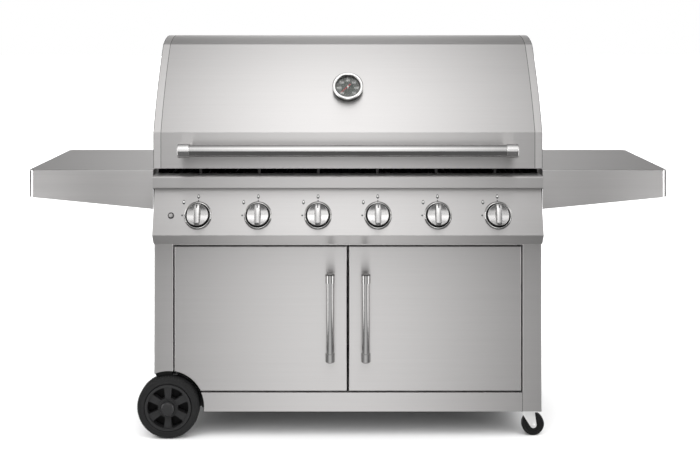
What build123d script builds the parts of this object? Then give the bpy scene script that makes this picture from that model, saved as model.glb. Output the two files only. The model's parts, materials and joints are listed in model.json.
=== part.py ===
from build123d import *
import os
from math import asin, cos, hypot, radians, sin

# Gas barbecue grill on a two-door cabinet cart, as separate pieces in one frame.
# +Z is up, +X is to the right of someone facing the doors, and the front looks along -Y.
# The origin is on the floor, under the middle of the grill. Lengths are in millimetres.

# Sheet metal, fits and gaps
sheet = 1.5  # folded sheet steel
plate = 3.0  # brackets and welded tabs
seam = 0.3  # gap between pieces that only just clear each other
pin_fit = 0.05  # radial clearance of a pin or shaft in its bore
edge_radius = 2.0  # outside radius of a folded edge

# Cart
cart_width = 1140.0  # over the corner posts
cart_depth = 520.0  # over the corner posts
axle_rise = 14.0  # underside of the cart to the wheels' axle
post_size = 56.0
side_recess = 2.0  # side panels stand this far in from the posts
kick_height = 55.5
kick_flange = 20.0
kick_round = 1.3
base_depth = 32.5  # height of the base tray's folded edges
back_panel_gap = 11.0  # back panel to the grease tray over it
back_vent_length = 70.0
back_vent_width = 8.0
back_vent_columns = 6
back_vent_rows = 4
back_vent_pitch = 22.0
header_height = 34.0
header_depth = 40.0
header_setback = 5.0

# Doors
door_height = 425.0
door_depth = 22.0
door_sheet = 1.5
door_lip = 14.0  # return flange round the back of a door
door_foot_gap = 5.0
door_head_gap = 3.0
door_side_gap = 4.0
door_middle_gap = 6.0
hinge_pin_radius = 2.5
hinge_pin_length = 14.0  # beyond its plate
hinge_inset = 5.5  # door's edge to the hinge axis
hinge_setback = 5.0  # door's face to the hinge axis
hinge_plate_size = 11.0
hinge_strap_depth = 8.8
hinge_strap_height = 44.0
magnet_width = 36.0
magnet_height = 18.0
magnet_depth = 16.0
magnet_x = 60.0

# Door handles
pull_x = 52.0
pull_length = 257.0
pull_rise = 12.5  # door's middle to the handle's middle
pull_radius = 11.5
pull_sleeve_wall = 2.2
pull_sleeve_chamfer = 3.0
pull_sleeve_length = 26.0
pull_post_radius = 9.0
pull_standoff = 38.5  # door's face to the handle's axis

# Firebox and what is in it
firebox_end_gap = 4.0  # firebox's ends stand in from the cart's sides
firebox_setback = 45.0  # doors' face to the firebox
firebox_rear_inset = 42.0  # firebox to the rear of the cart
firebox_front_height = 172.5
firebox_side_rise = 12.5  # side walls above the front wall
firebox_rear_rise = 87.5  # rear wall above the front wall, a baffle behind the hood's rear edge
drip_slot_end = 30.0  # side of the tray to the end of the drip slot
drip_slot_rim = 66.5  # floor in front of the drip slot and behind it
burner_radius = 12.5
burner_wall = 1.5
burner_mouth = 14.0  # reach of a burner in front of the firebox
burner_tail = 8.0  # burner's blind end to the rear wall
burner_stud_radius = 4.0
port_radius = 1.6
port_count = 14
port_pitch = 26.0
tent_gap = 51.0  # between neighbouring heat tents
tent_height = 32.0
tent_drop = 46.0  # grates' seat to the heat tents' seat
tent_sheet = 1.5
ledge_width = 12.0
grate_drop = 6.5  # front rail's top to the grates' top
grate_count = 4
grate_gap = 2.0
grate_thickness = 14.0
grate_border = 16.0
grate_slots = 12
grate_bar = 9.0
electrode_radius = 3.5
electrode_offset = 30.0  # beside the burner's axis
electrode_length = 90.0
electrode_flange = 7.0
rack_depth = 130.0
rack_rise = 136.0  # top of the grates to the top of the warming rack
rack_bar = 7.0
rack_slots = 40
rack_from_rear = 8.0  # behind the warming rack, to the firebox's rear wall
rack_leg_radius = 4.0

# Grease tray
tray_side_inset = 100.0  # side of the cart to the tray
tray_front_inset = 60.0  # doors' face to the tray
tray_depth = 20.0
tray_rim = 12.0
tray_drop = 14.0  # firebox floor to the tray's rim
tray_rear_inset = 20.0  # rear of the cart to the tray's front plate
tray_grip_depth = 14.0
tray_grip_width = 314.0
runner_ledge = 10.0

# Front rail and control panel
rail_proud = 24.0
rail_height = 36.5
rail_lip = 26.0
rail_radius = 4.0
spacer_width = 7.0
spacer_height = 14.0
spacer_setback = 12.0
panel_end_gap = 2.0  # panel's ends stand in from the cart's sides
panel_proud = 3.0
panel_lean = 42.0  # how far the face comes forward from top to bottom
panel_foot_gap = 12.0  # top of the doors to the panel's foot
panel_strip_drop = 29.0
panel_strip_back = 23.0
panel_return = 19.0
panel_flange = 26.0
panel_round = 3.0

# Burner controls
knob_end = 130.5  # panel's end to the first knob's axis
knob_count = 6
knob_drop = 79.3  # down the panel's face from its top edge
knob_radius = 33.0
knob_body = 15.0
knob_bar_width = 20.0
knob_bar_inset = 3.0  # end of the grip bar to the knob's edge
knob_bar_corner = 6.0
knob_bar_height = 14.0
knob_taper = 3.0  # degrees
knob_bar_taper = 4.0  # degrees
knob_travel = 4.0
knob_gap = 1.0  # left under a knob that is pressed in
knob_ring_gap = 2.5  # round a knob, inside its bezel
bezel_rim = 5.0
bezel_height = 7.0
bezel_floor = 1.5
bezel_chamfer = 2.25
stem_radius = 4.0
stem_flat = 2.6  # stem's axis to its flat
stem_grip = 16.0  # stem inside the knob
stem_depth = 26.0  # stem behind the panel's face
valve_radius = 12.0
valve_length = 42.0
valve_foot_radius = 7.2
valve_flange_radius = 17.0
valve_flange = 4.0
nozzle_radius = 4.0
nozzle_reach = 8.0  # nozzle inside the burner
manifold_size = 20.0
manifold_wall = 2.0
manifold_end = 62.5  # beyond the last knob's axis
manifold_drop = 24.0  # valve's middle to the manifold's top
inlet_thread_radius = 7.94
inlet_thread_length = 16.0
inlet_nut_radius = 11.0
inlet_nut_length = 8.0
igniter_end = 52.0  # panel's end to the igniter's axis
igniter_button_radius = 6.5
igniter_button_proud = 5.0
igniter_travel = 3.0
igniter_collar_radius = 9.0
igniter_collar_height = 1.6
igniter_body_radius = 12.0
igniter_body_length = 44.0

# Hood
hood_side_proud = 2.0  # beyond the cart's sides
hood_proud = 3.0
hood_gap = 20.5  # front rail to the hood's lower edge
hood_skirt = 106.0
hood_slope_run = 168.0
hood_slope_rise = 254.4
hood_slope_bulge = 11.3
hood_crease = 6.0  # radius of the bend between the slope and the crown
hood_crown = 276.4  # radius of the crown, which runs from the bend to the level top
hood_crown_turn = 25.0  # slope of the crown at the bend, in degrees
hood_rear_inset = 30.0  # hood to the rear of the cart
hood_rear_roll = 180.0
hood_rear_lift = 57.0  # rear edge above the front edge
hood_hem = 12.0
cheek_strip = 22.0  # visible width of the end trim
cheek_rim = 4.0
cheek_lip = 9.0
cheek_corner = 26.0
pivot_from_rear = 28.0
pivot_rise = 19.0  # hinge axis above the hood's lower edge
pivot_radius = 5.0
pivot_head_radius = 8.0
pivot_head = 2.0
bracket_width = 40.0
bracket_drop = 72.0

# Hood handle
bar_radius = 17.5
bar_rise = 58.0  # hood's lower edge to the handle's axis
bar_standoff = 47.0  # hood's face to the handle's axis
mount_wall = 3.5  # of a mount, round the handle's tube
mount_width = 34.0
mount_inset = 97.0  # hood's end to the middle of a mount
mount_arm_height = 26.0
bar_wall = 2.0

# Thermometer
gauge_along = 0.455  # place along the slope, from its lower edge
gauge_radius = 46.0
gauge_overhang = 4.0  # ring beyond the body
gauge_height = 24.0
gauge_bezel = 9.0
gauge_round = 3.6
gauge_ring = 9.5  # width of the bezel ring
gauge_glass = 1.5
gauge_glass_lap = 1.5  # glass under the ring
gauge_dial_depth = 7.0
probe_radius = 3.0
probe_length = 50.0
needle_gap = 6.5  # needle's tip to the ring
needle_tail = 12.0
needle_width = 2.4
needle_sheet = 0.8
needle_hub_radius = 3.5
needle_rest_angle = 225.0
spindle_radius = 1.2

# Side shelves
shelf_gap = 2.0  # hood to shelf
shelf_length = 368.0
shelf_setback = 5.0
shelf_rear_inset = 50.0  # shelf to the rear of the cart
shelf_rise = 15.5  # above the front rail
shelf_inner_height = 116.0
shelf_outer_height = 80.0
shelf_corner = 16.0
shelf_edge = 3.0
arm_end_gap = 48.0  # end of an arm to the shelf's outer end
arm_width = 24.0
arm_height = 30.0
arm_wall = 2.0
arm_front = 75.0  # shelf's front to the first arm
arm_rear = 95.0  # shelf's rear to the second arm
arm_plate_width = 60.0
arm_plate_height = 76.0

# Wheels, on the left
wheel_radius = 91.5
wheel_width = 45.0
wheel_proud = 12.0
wheel_inset = 42.0  # side of the cart to the middle of a wheel
wheel_back_gap = 12.0  # behind a wheel, to the plate that carries the axle
arch_gap = 13.5
tyre_height = 23.5  # tread to bead
tyre_shoulder = 9.0
rim_wall = 7.5
rim_recess = 3.0
hub_radius = 26.0
window_inner = 29.0
window_depth = 22.0
spoke_hub_width = 16.0
spoke_rim_width = 25.0
window_corner = 4.0
web_thickness = 5.0
spoke_count = 6
axle_radius = 5.0
axle_end = 6.0  # axle inside its cap
cap_radius = 21.0
cap_height = 12.0
cap_round = 7.2

# Casters, on the right
caster_crown_gap = 3.2  # over a caster's wheel, inside its fork
caster_width = 22.0
caster_inset = 38.0  # side of the cart to a caster's pivot
caster_trail = 16.0
caster_plate_inset = 1.0  # post's face to the edge of the plate under it
caster_race_radius = 17.0
caster_race = 2.5
caster_sheet = 2.5
caster_side_gap = 2.0
caster_crown_rim = 3.0  # crown beyond the race
caster_axle_radius = 4.0
caster_boss_radius = 9.5
kingpin_radius = 4.0
kingpin_head_radius = 6.5
kingpin_head = 1.5

# Levels
axle_z = wheel_radius
ground_clearance = axle_z - axle_rise
kick_top = ground_clearance + kick_height
door_bottom = kick_top + door_foot_gap
door_top = door_bottom + door_height
header_bottom = door_top + door_head_gap
cart_top = header_bottom + header_height
firebox_floor = cart_top + sheet
rail_top = cart_top + firebox_front_height
rail_bottom = rail_top - rail_height
hood_bottom = rail_top + hood_gap
shelf_top = rail_top + shelf_rise
firebox_side_height = firebox_front_height + firebox_side_rise
firebox_rear_height = firebox_front_height + firebox_rear_rise
grate_top = rail_top - grate_drop
grate_bottom = grate_top - grate_thickness
tent_bottom = grate_bottom - tent_drop
rack_top = grate_top + rack_rise
tray_rim_top = cart_top - tray_drop
back_panel_height = tray_rim_top - tray_depth - back_panel_gap - ground_clearance
pull_middle = door_bottom + door_height / 2 + pull_rise

# Widths and places across: the pieces keep their gaps to the cart's sides
half_cart = cart_width / 2
post_inner = half_cart - post_size
side_outer = half_cart - side_recess
side_inner = side_outer - sheet
rail_width = cart_width
panel_width = cart_width - 2 * panel_end_gap
firebox_width = cart_width - 2 * firebox_end_gap
tray_width = cart_width - 2 * tray_side_inset
drip_slot_length = tray_width - 2 * drip_slot_end
hood_width = cart_width + 2 * hood_side_proud
mount_x = hood_width / 2 - mount_inset
hinge_x = post_inner - door_side_gap - hinge_inset
knob_pitch = (panel_width - 2 * knob_end) / (knob_count - 1)
knob_xs = [knob_pitch * (i - (knob_count - 1) / 2) for i in range(knob_count)]
tent_width = knob_pitch - tent_gap
manifold_length = knob_pitch * (knob_count - 1) + 2 * manifold_end
igniter_x = igniter_end - panel_width / 2
wheel_x = wheel_inset - half_cart
caster_x = half_cart - caster_inset
arm_length = shelf_length - arm_end_gap

# Round sizes that follow each other
pull_sleeve_radius = pull_radius + pull_sleeve_wall
mount_radius = bar_radius + mount_wall
bezel_radius = knob_radius + knob_ring_gap + bezel_rim
knob_bar_length = 2 * (knob_radius - knob_bar_inset)
gauge_body_radius = gauge_radius - gauge_overhang
needle_length = gauge_radius - gauge_ring - needle_gap
arch_radius = wheel_radius + arch_gap
tyre_bead_radius = wheel_radius - tyre_height
caster_plate_size = post_size - 2 * caster_plate_inset

# Depths: the doors' outer face stands where the whole grill comes out centred
front_reach = hood_proud + bar_standoff + mount_radius
rear_reach = cart_depth + wheel_proud + cap_height
front = (front_reach - rear_reach) / 2
back = front + cart_depth
firebox_depth = cart_depth - firebox_setback - firebox_rear_inset
drip_slot_width = firebox_depth - 2 * drip_slot_rim
tray_length = cart_depth - tray_front_inset - tray_rear_inset
hood_depth = cart_depth + hood_proud - hood_rear_inset
shelf_depth = cart_depth - shelf_setback - shelf_rear_inset
firebox_front = front + firebox_setback
firebox_back = firebox_front + firebox_depth
hood_front = front - hood_proud
hood_back = hood_front + hood_depth
pivot_y = hood_back - pivot_from_rear
pivot_z = hood_bottom + pivot_rise
bay_depth = wheel_width - wheel_proud + wheel_back_gap
bay_edge = wheel_x + arch_radius - sheet
hinge_y = front + hinge_setback

# The panel's face: its plane looks forwards and up, with X along the panel and Y up the face
panel_top_y = front - panel_proud
panel_top_z = rail_bottom - sheet
foot_z = door_top + panel_foot_gap
strip_z = foot_z + panel_strip_drop
panel_face_drop = panel_top_z - strip_z
panel_slant = hypot(panel_lean, panel_face_drop)
lean_sin = panel_lean / panel_slant
lean_cos = panel_face_drop / panel_slant
knob_y = panel_top_y - knob_drop * lean_sin
knob_z = panel_top_z - knob_drop * lean_cos
panel_plane = Plane(origin=(0, knob_y, knob_z), x_dir=(1, 0, 0), z_dir=(0, -lean_cos, lean_sin))
panel_axis = Axis(panel_plane.origin, panel_plane.z_dir)
knob_rest = bezel_floor + knob_gap + knob_travel
valve_middle_y = knob_y + lean_cos * (sheet + valve_length / 2)
valve_middle_z = knob_z - lean_sin * (sheet + valve_length / 2)
burner_z = knob_z - lean_sin * (sheet + valve_length - valve_radius)
burner_y = knob_y + lean_cos * (sheet + valve_length - valve_radius)
manifold_top = valve_middle_z - manifold_drop

# The hood's slope is an arc, bowed outwards between the skirt and the crown
slope_chord = hypot(hood_slope_run, hood_slope_rise)
slope_radius = (slope_chord**2 / 4 + hood_slope_bulge**2) / (2 * hood_slope_bulge)
slope_half = asin(slope_chord / 2 / slope_radius)
chord_y = hood_slope_run / slope_chord
chord_z = hood_slope_rise / slope_chord
slope_foot_z = hood_bottom + hood_skirt
slope_head_y = hood_front + hood_slope_run
slope_head_z = slope_foot_z + hood_slope_rise
slope_centre_y = hood_front + hood_slope_run / 2 + chord_z * (slope_radius - hood_slope_bulge)
slope_centre_z = slope_foot_z + hood_slope_rise / 2 - chord_y * (slope_radius - hood_slope_bulge)
crown_turn = radians(hood_crown_turn)
hood_top = slope_head_z + hood_crown * (1 - cos(crown_turn))
crown_end_y = slope_head_y + hood_crown * sin(crown_turn)
gauge_turn = slope_half * (2 * gauge_along - 1)
gauge_normal_y = sin(gauge_turn) * chord_y - cos(gauge_turn) * chord_z
gauge_normal_z = sin(gauge_turn) * chord_z + cos(gauge_turn) * chord_y
gauge_plane = Plane(
    origin=(
        0,
        slope_centre_y + slope_radius * gauge_normal_y,
        slope_centre_z + slope_radius * gauge_normal_z,
    ),
    x_dir=(1, 0, 0),
    z_dir=(0, gauge_normal_y, gauge_normal_z),
)
gauge_axis = Axis(gauge_plane.origin, gauge_plane.z_dir)

os.makedirs("parts", exist_ok=True)


def plane_at(y):
    """A plane that faces the front at depth y, with X across and Y up."""
    return Plane.XZ.offset(-y)


def cut_arches():
    """Cuts the round arches over the two left wheels out of the piece being built."""
    for bay_end, way in ((front + bay_depth, 1), (back - bay_depth, -1)):
        with BuildSketch(plane_at(bay_end)) as arch:
            with Locations((wheel_x, axle_z)):
                Circle(arch_radius)
        extrude(arch.sketch, amount=way * (bay_depth + sheet), mode=Mode.SUBTRACT)


def hood_outline(inset, x):
    """The hood's side view, moved in by an inset, on the plane at x. It runs on below the hood."""
    low = hood_bottom - cheek_corner
    with BuildSketch(Plane.YZ.offset(x)) as outline:
        with BuildLine():
            Polyline(
                (hood_back, hood_top - hood_rear_roll),
                (hood_back, low),
                (hood_front, low),
                (hood_front, slope_foot_z),
            )
            SagittaArc((hood_front, slope_foot_z), (slope_head_y, slope_head_z), hood_slope_bulge)
            JernArc(
                (slope_head_y, slope_head_z), (cos(crown_turn), sin(crown_turn)), hood_crown, -hood_crown_turn
            )
            Line((crown_end_y, hood_top), (hood_back - hood_rear_roll, hood_top))
            JernArc((hood_back - hood_rear_roll, hood_top), (1, 0), hood_rear_roll, -90)
        make_face()
        fillet(outline.vertices().sort_by_distance((slope_head_y, slope_head_z))[0], hood_crease)
        if inset:
            offset(amount=-inset, kind=Kind.INTERSECTION)
    return outline.sketch


# Cart: corner posts, side panels, base tray, back panel, kick rail and door header

post_places = [
    (side * (half_cart - post_size / 2), y)
    for side in (-1, 1)
    for y in (front + post_size / 2, back - post_size / 2)
]

with BuildPart() as corner_posts:
    with BuildSketch(Plane.XY.offset(ground_clearance)):
        with Locations(*post_places):
            RectangleRounded(post_size, post_size, edge_radius)
        with Locations(*post_places):
            Rectangle(post_size - 2 * sheet, post_size - 2 * sheet, mode=Mode.SUBTRACT)
    extrude(amount=cart_top - ground_clearance)
    for bay_y in (front, back - post_size):
        with BuildSketch(plane_at(bay_y)):
            with Locations((wheel_x, axle_z)):
                Circle(arch_radius)
        extrude(amount=-post_size, mode=Mode.SUBTRACT)
corner_posts.part.label = "corner_posts"
export_step(corner_posts.part, "parts/corner_posts.step")

with BuildPart() as side_panels:
    with BuildSketch(plane_at(front + post_size)):
        with Locations((side_outer - sheet / 2, (ground_clearance + cart_top) / 2)):
            Rectangle(sheet, cart_top - ground_clearance)
        with Locations((side_outer - post_size / 4, cart_top - sheet / 2)):
            Rectangle(post_size / 2, sheet)
    extrude(amount=-(cart_depth - 2 * post_size))
    mirror(about=Plane.YZ)
side_panels.part.label = "side_panels"
export_step(side_panels.part, "parts/side_panels.step")

base_front = front + door_sheet
base_back = back - door_sheet


def base_plan(inset):
    """The base tray's outline, moved in by an inset. It steps in round the posts and the wheel bays."""
    with BuildSketch(Plane.XY.offset(ground_clearance)) as plan:
        with BuildLine():
            Polyline(
                (post_inner, base_front),
                (post_inner, front + post_size),
                (side_inner, front + post_size),
                (side_inner, back - post_size),
                (post_inner, back - post_size),
                (post_inner, base_back),
                (bay_edge, base_back),
                (bay_edge, back - bay_depth),
                (-side_inner, back - bay_depth),
                (-side_inner, front + bay_depth),
                (bay_edge, front + bay_depth),
                (bay_edge, base_front),
                close=True,
            )
        make_face()
        if inset:
            offset(amount=-inset, kind=Kind.INTERSECTION)
    return plan.sketch


with BuildPart() as cart_base:
    extrude(base_plan(0), amount=base_depth)
    extrude(base_plan(sheet), amount=base_depth - sheet, mode=Mode.SUBTRACT)
    with BuildSketch(plane_at(front)):
        with Locations((wheel_x, axle_z)):
            Circle(axle_radius + pin_fit)
    extrude(amount=-cart_depth, mode=Mode.SUBTRACT)
cart_base.part.label = "cart_base"
export_step(cart_base.part, "parts/cart_base.step")

with BuildPart() as back_panel:
    with BuildSketch(plane_at(back - door_sheet)):
        with Locations((0, ground_clearance + back_panel_height / 2)):
            Rectangle(2 * post_inner, back_panel_height)
        with Locations((wheel_x, axle_z)):
            Circle(arch_radius, mode=Mode.SUBTRACT)
        with Locations((0, ground_clearance + back_panel_height / 2)):
            with GridLocations(2 * back_vent_length, back_vent_pitch, back_vent_columns, back_vent_rows):
                SlotOverall(back_vent_length, back_vent_width, mode=Mode.SUBTRACT)
    extrude(amount=-door_sheet)
back_panel.part.label = "back_panel"
export_step(back_panel.part, "parts/back_panel.step")

with BuildPart() as kick_rail:
    with BuildSketch(Plane.YZ.offset(-post_inner)):
        with Locations((front + door_sheet / 2, ground_clearance + kick_height / 2)):
            Rectangle(door_sheet, kick_height)
        with Locations((front + kick_flange / 2, kick_top - door_sheet / 2)):
            Rectangle(kick_flange, door_sheet)
    extrude(amount=2 * post_inner)
    fillet(kick_rail.edges().filter_by(Axis.X).group_by(Axis.Y)[0].sort_by(Axis.Z)[-1], kick_round)
    cut_arches()
kick_rail.part.label = "kick_rail"
export_step(kick_rail.part, "parts/kick_rail.step")

header_y = front + header_setback + header_depth / 2

with BuildPart() as door_header:
    with BuildSketch(Plane.YZ.offset(-post_inner)):
        with Locations((header_y, header_bottom + header_height / 2)):
            Rectangle(header_depth, header_height)
        with Locations((header_y + sheet, header_bottom + header_height / 2)):
            Rectangle(header_depth, header_height - 2 * sheet, mode=Mode.SUBTRACT)
    extrude(amount=2 * post_inner)
door_header.part.label = "door_header"
export_step(door_header.part, "parts/door_header.step")

# Doors: folded pans that turn on upright pins, with handles and magnetic catches

door_width = post_inner - door_side_gap - door_middle_gap / 2
door_centre = door_middle_gap / 2 + door_width / 2
pin_z_left = axle_z + (arch_radius**2 - (hinge_x + wheel_x) ** 2) ** 0.5


def door_face(side, inset, y):
    """The door's front view on the plane at y. The left door is rounded out over its wheel."""
    with BuildSketch(plane_at(y)) as face:
        with Locations((side * door_centre, door_bottom + door_height / 2)):
            Rectangle(door_width - 2 * inset, door_height - 2 * inset)
        if side < 0:
            with Locations((wheel_x, axle_z)):
                Circle(arch_radius + inset, mode=Mode.SUBTRACT)
    return face.sketch


def make_door(side):
    """One door: a front skin with folded edges, a lip round the back and holes for its pins."""
    with BuildPart() as door:
        extrude(door_face(side, 0, front), amount=-door_depth)
        fillet(door.faces().sort_by(Axis.Y)[0].outer_wire().edges(), edge_radius)
        extrude(
            door_face(side, door_sheet, front + door_sheet),
            amount=-(door_depth - 2 * door_sheet),
            mode=Mode.SUBTRACT,
        )
        extrude(
            door_face(side, door_lip, front + door_depth - 2 * door_sheet),
            amount=-3 * door_sheet,
            mode=Mode.SUBTRACT,
        )
        with BuildSketch(Plane.XY.offset(door_bottom - door_sheet)):
            with Locations((side * hinge_x, hinge_y)):
                Circle(hinge_pin_radius + pin_fit)
        extrude(amount=door_height + 2 * door_sheet, mode=Mode.SUBTRACT)
    return door.part


left_door = make_door(-1)
left_door.label = "left_door"
export_step(left_door, "parts/left_door.step")
right_door = make_door(1)
right_door.label = "right_door"
export_step(right_door, "parts/right_door.step")

foot_plate = door_foot_gap - seam
head_plate = door_head_gap - seam
left_pin_plate = pin_z_left - 2 * plate
hinge_plate_y = hinge_y + hinge_plate_size / 4

with BuildPart() as door_hinge_pins:
    with BuildSketch(Plane.XY.offset(header_bottom)):
        with Locations((hinge_x, hinge_plate_y), (-hinge_x, hinge_plate_y)):
            Rectangle(hinge_plate_size, hinge_plate_size)
    extrude(amount=-head_plate)
    with BuildSketch(Plane.XY.offset(header_bottom)):
        with Locations((hinge_x, hinge_y), (-hinge_x, hinge_y)):
            Circle(hinge_pin_radius)
    extrude(amount=-(head_plate + hinge_pin_length))
    with BuildSketch(Plane.XY.offset(kick_top)):
        with Locations((hinge_x, hinge_plate_y)):
            Rectangle(hinge_plate_size, hinge_plate_size)
    extrude(amount=foot_plate)
    with BuildSketch(Plane.XY.offset(kick_top)):
        with Locations((hinge_x, hinge_y)):
            Circle(hinge_pin_radius)
    extrude(amount=foot_plate + hinge_pin_length)
    with BuildSketch(Plane.XY.offset(left_pin_plate - plate)):
        with Locations((-(hinge_x + post_inner - hinge_pin_radius) / 2, hinge_y)):
            Rectangle(post_inner - hinge_x + hinge_pin_radius, hinge_plate_size - plate)
        with Locations((-post_inner + plate / 2, front + door_depth / 2)):
            Rectangle(plate, door_depth)
    extrude(amount=plate)
    with BuildSketch(Plane.XY.offset(left_pin_plate - plate)):
        with Locations((-post_inner + plate / 2, front + door_depth - hinge_strap_depth / 2)):
            Rectangle(plate, hinge_strap_depth)
    extrude(amount=hinge_strap_height)
    with BuildSketch(Plane.XY.offset(left_pin_plate - plate)):
        with Locations((-hinge_x, hinge_y)):
            Circle(hinge_pin_radius)
    extrude(amount=plate + 2 * hinge_pin_length)
door_hinge_pins.part.label = "door_hinge_pins"
export_step(door_hinge_pins.part, "parts/door_hinge_pins.step")

with BuildPart() as door_magnets:
    with BuildSketch(Plane.XY.offset(header_bottom)):
        with Locations(
            (magnet_x, front + door_depth + seam + magnet_depth / 2),
            (-magnet_x, front + door_depth + seam + magnet_depth / 2),
        ):
            Rectangle(magnet_width, magnet_depth)
    extrude(amount=-magnet_height)
door_magnets.part.label = "door_magnets"
export_step(door_magnets.part, "parts/door_magnets.step")

pull_y = front - pull_standoff
pull_ends = (pull_middle - pull_length / 2, pull_middle + pull_length / 2 - pull_sleeve_length)


def make_pull(side):
    """One door handle: a tube between two sleeves, each on a post that stands on the door."""
    with BuildPart() as pull:
        with BuildSketch(Plane.XY.offset(pull_ends[0] + pull_sleeve_length)):
            with Locations((side * pull_x, pull_y)):
                Circle(pull_radius)
        extrude(amount=pull_length - 2 * pull_sleeve_length)
        for end in pull_ends:
            with BuildSketch(Plane.XY.offset(end)):
                with Locations((side * pull_x, pull_y)):
                    Circle(pull_sleeve_radius)
            extrude(amount=pull_sleeve_length)
            with BuildSketch(plane_at(front)):
                with Locations((side * pull_x, end + pull_sleeve_length / 2)):
                    Circle(pull_post_radius)
            extrude(amount=pull_standoff)
        chamfer(pull.edges().filter_by(GeomType.CIRCLE).group_by(Axis.Z)[0], pull_sleeve_chamfer)
        chamfer(pull.edges().filter_by(GeomType.CIRCLE).group_by(Axis.Z)[-1], pull_sleeve_chamfer)
    return pull.part


left_door_handle = make_pull(-1)
left_door_handle.label = "left_door_handle"
export_step(left_door_handle, "parts/left_door_handle.step")
right_door_handle = make_pull(1)
right_door_handle.label = "right_door_handle"
export_step(right_door_handle, "parts/right_door_handle.step")

# Firebox: an open box on the posts, with ledges inside and runners for the tray underneath

firebox_middle = (firebox_front + firebox_back) / 2
half_box = firebox_width / 2
runner_inner = tray_width / 2 + tray_rim + seam
runner_z = tray_rim_top - sheet - seam

with BuildPart() as firebox:
    with BuildSketch(Plane.XY.offset(cart_top)):
        with Locations((0, firebox_middle)):
            Rectangle(firebox_width, firebox_depth)
    extrude(amount=firebox_side_height)
    with BuildSketch(Plane.XY.offset(firebox_floor)):
        with Locations((0, firebox_middle)):
            Rectangle(firebox_width - 2 * sheet, firebox_depth - 2 * sheet)
    extrude(amount=firebox_side_height, mode=Mode.SUBTRACT)
    with BuildSketch(Plane.XY.offset(cart_top + firebox_front_height)):
        with Locations((0, firebox_front)):
            Rectangle(firebox_width - 2 * sheet, 4 * sheet)
    extrude(amount=firebox_side_height, mode=Mode.SUBTRACT)
    with BuildSketch(Plane.XY.offset(firebox_floor)):
        with Locations((0, firebox_back - sheet / 2)):
            Rectangle(firebox_width - 2 * sheet, sheet)
    extrude(amount=firebox_rear_height - sheet)
    with BuildSketch(Plane.XY.offset(cart_top)):
        with Locations((0, firebox_middle)):
            Rectangle(drip_slot_length, drip_slot_width)
    extrude(amount=sheet, mode=Mode.SUBTRACT)
    for seat_z in (tent_bottom, grate_bottom):
        with BuildSketch(Plane.XY.offset(seat_z)):
            with Locations(
                (0, firebox_front + sheet + ledge_width / 2), (0, firebox_back - sheet - ledge_width / 2)
            ):
                Rectangle(firebox_width - 2 * sheet, ledge_width)
        extrude(amount=-sheet)
    with BuildSketch(plane_at(firebox_front)):
        with Locations(*[(x, burner_z) for x in knob_xs]):
            Circle(burner_radius + seam)
        with Locations(*[(x + electrode_offset, burner_z) for x in knob_xs]):
            Circle(electrode_radius + seam)
    extrude(amount=-2 * sheet, mode=Mode.SUBTRACT)
    with BuildSketch(plane_at(firebox_back)):
        with Locations(*[(x, burner_z) for x in knob_xs]):
            Circle(burner_stud_radius + seam)
    extrude(amount=2 * sheet, mode=Mode.SUBTRACT)
    for side in (-1, 1):
        with BuildSketch(plane_at(firebox_front + post_size)):
            with Locations((side * (runner_inner + sheet / 2), (cart_top + runner_z - sheet) / 2)):
                Rectangle(sheet, cart_top - runner_z + sheet)
            with Locations((side * (runner_inner + sheet - runner_ledge / 2), runner_z - sheet / 2)):
                Rectangle(runner_ledge, sheet)
        extrude(amount=-(firebox_depth - 2 * post_size))
firebox.part.label = "firebox"
export_step(firebox.part, "parts/firebox.step")

burner_front = firebox_front - burner_mouth
burner_end = firebox_back - sheet - burner_tail

with BuildPart() as tube_burners:
    for x in knob_xs:
        with BuildSketch(plane_at(burner_front)):
            with Locations((x, burner_z)):
                Circle(burner_radius)
        extrude(amount=-(burner_end - burner_front))
        with BuildSketch(plane_at(burner_front)):
            with Locations((x, burner_z)):
                Circle(burner_radius - burner_wall)
        extrude(amount=-(burner_end - burner_front - burner_wall), mode=Mode.SUBTRACT)
        with BuildSketch(plane_at(burner_end)):
            with Locations((x, burner_z)):
                Circle(burner_stud_radius)
        extrude(amount=-(burner_tail + 2 * sheet))
    with BuildSketch(Plane.XY.offset(burner_z + burner_radius / 2)):
        for x in knob_xs:
            with Locations((x, firebox_middle)):
                with GridLocations(1, port_pitch, 1, port_count):
                    Circle(port_radius)
    extrude(amount=burner_radius, mode=Mode.SUBTRACT)
tube_burners.part.label = "tube_burners"
export_step(tube_burners.part, "parts/tube_burners.step")

tent_length = firebox_depth - 2 * sheet - 2 * seam

with BuildPart() as heat_tents:
    with BuildSketch(plane_at(firebox_front + sheet + seam)):
        for x in knob_xs:
            with BuildLine():
                Polyline(
                    (x - tent_width / 2, tent_bottom),
                    (x, tent_bottom + tent_height),
                    (x + tent_width / 2, tent_bottom),
                    (x + tent_width / 2 - 2 * tent_sheet, tent_bottom),
                    (x, tent_bottom + tent_height - tent_sheet),
                    (x - tent_width / 2 + 2 * tent_sheet, tent_bottom),
                    close=True,
                )
            make_face()
    extrude(amount=-tent_length)
heat_tents.part.label = "heat_tents"
export_step(heat_tents.part, "parts/heat_tents.step")

grate_space = firebox_width - 2 * sheet
grate_width = (grate_space - (grate_count + 1) * grate_gap) / grate_count
grate_length = firebox_depth - 2 * sheet - 2 * grate_gap
slot_pitch = (grate_width - 2 * grate_border + grate_bar) / grate_slots
slot_length = (grate_length - 3 * grate_border) / 2

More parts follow.
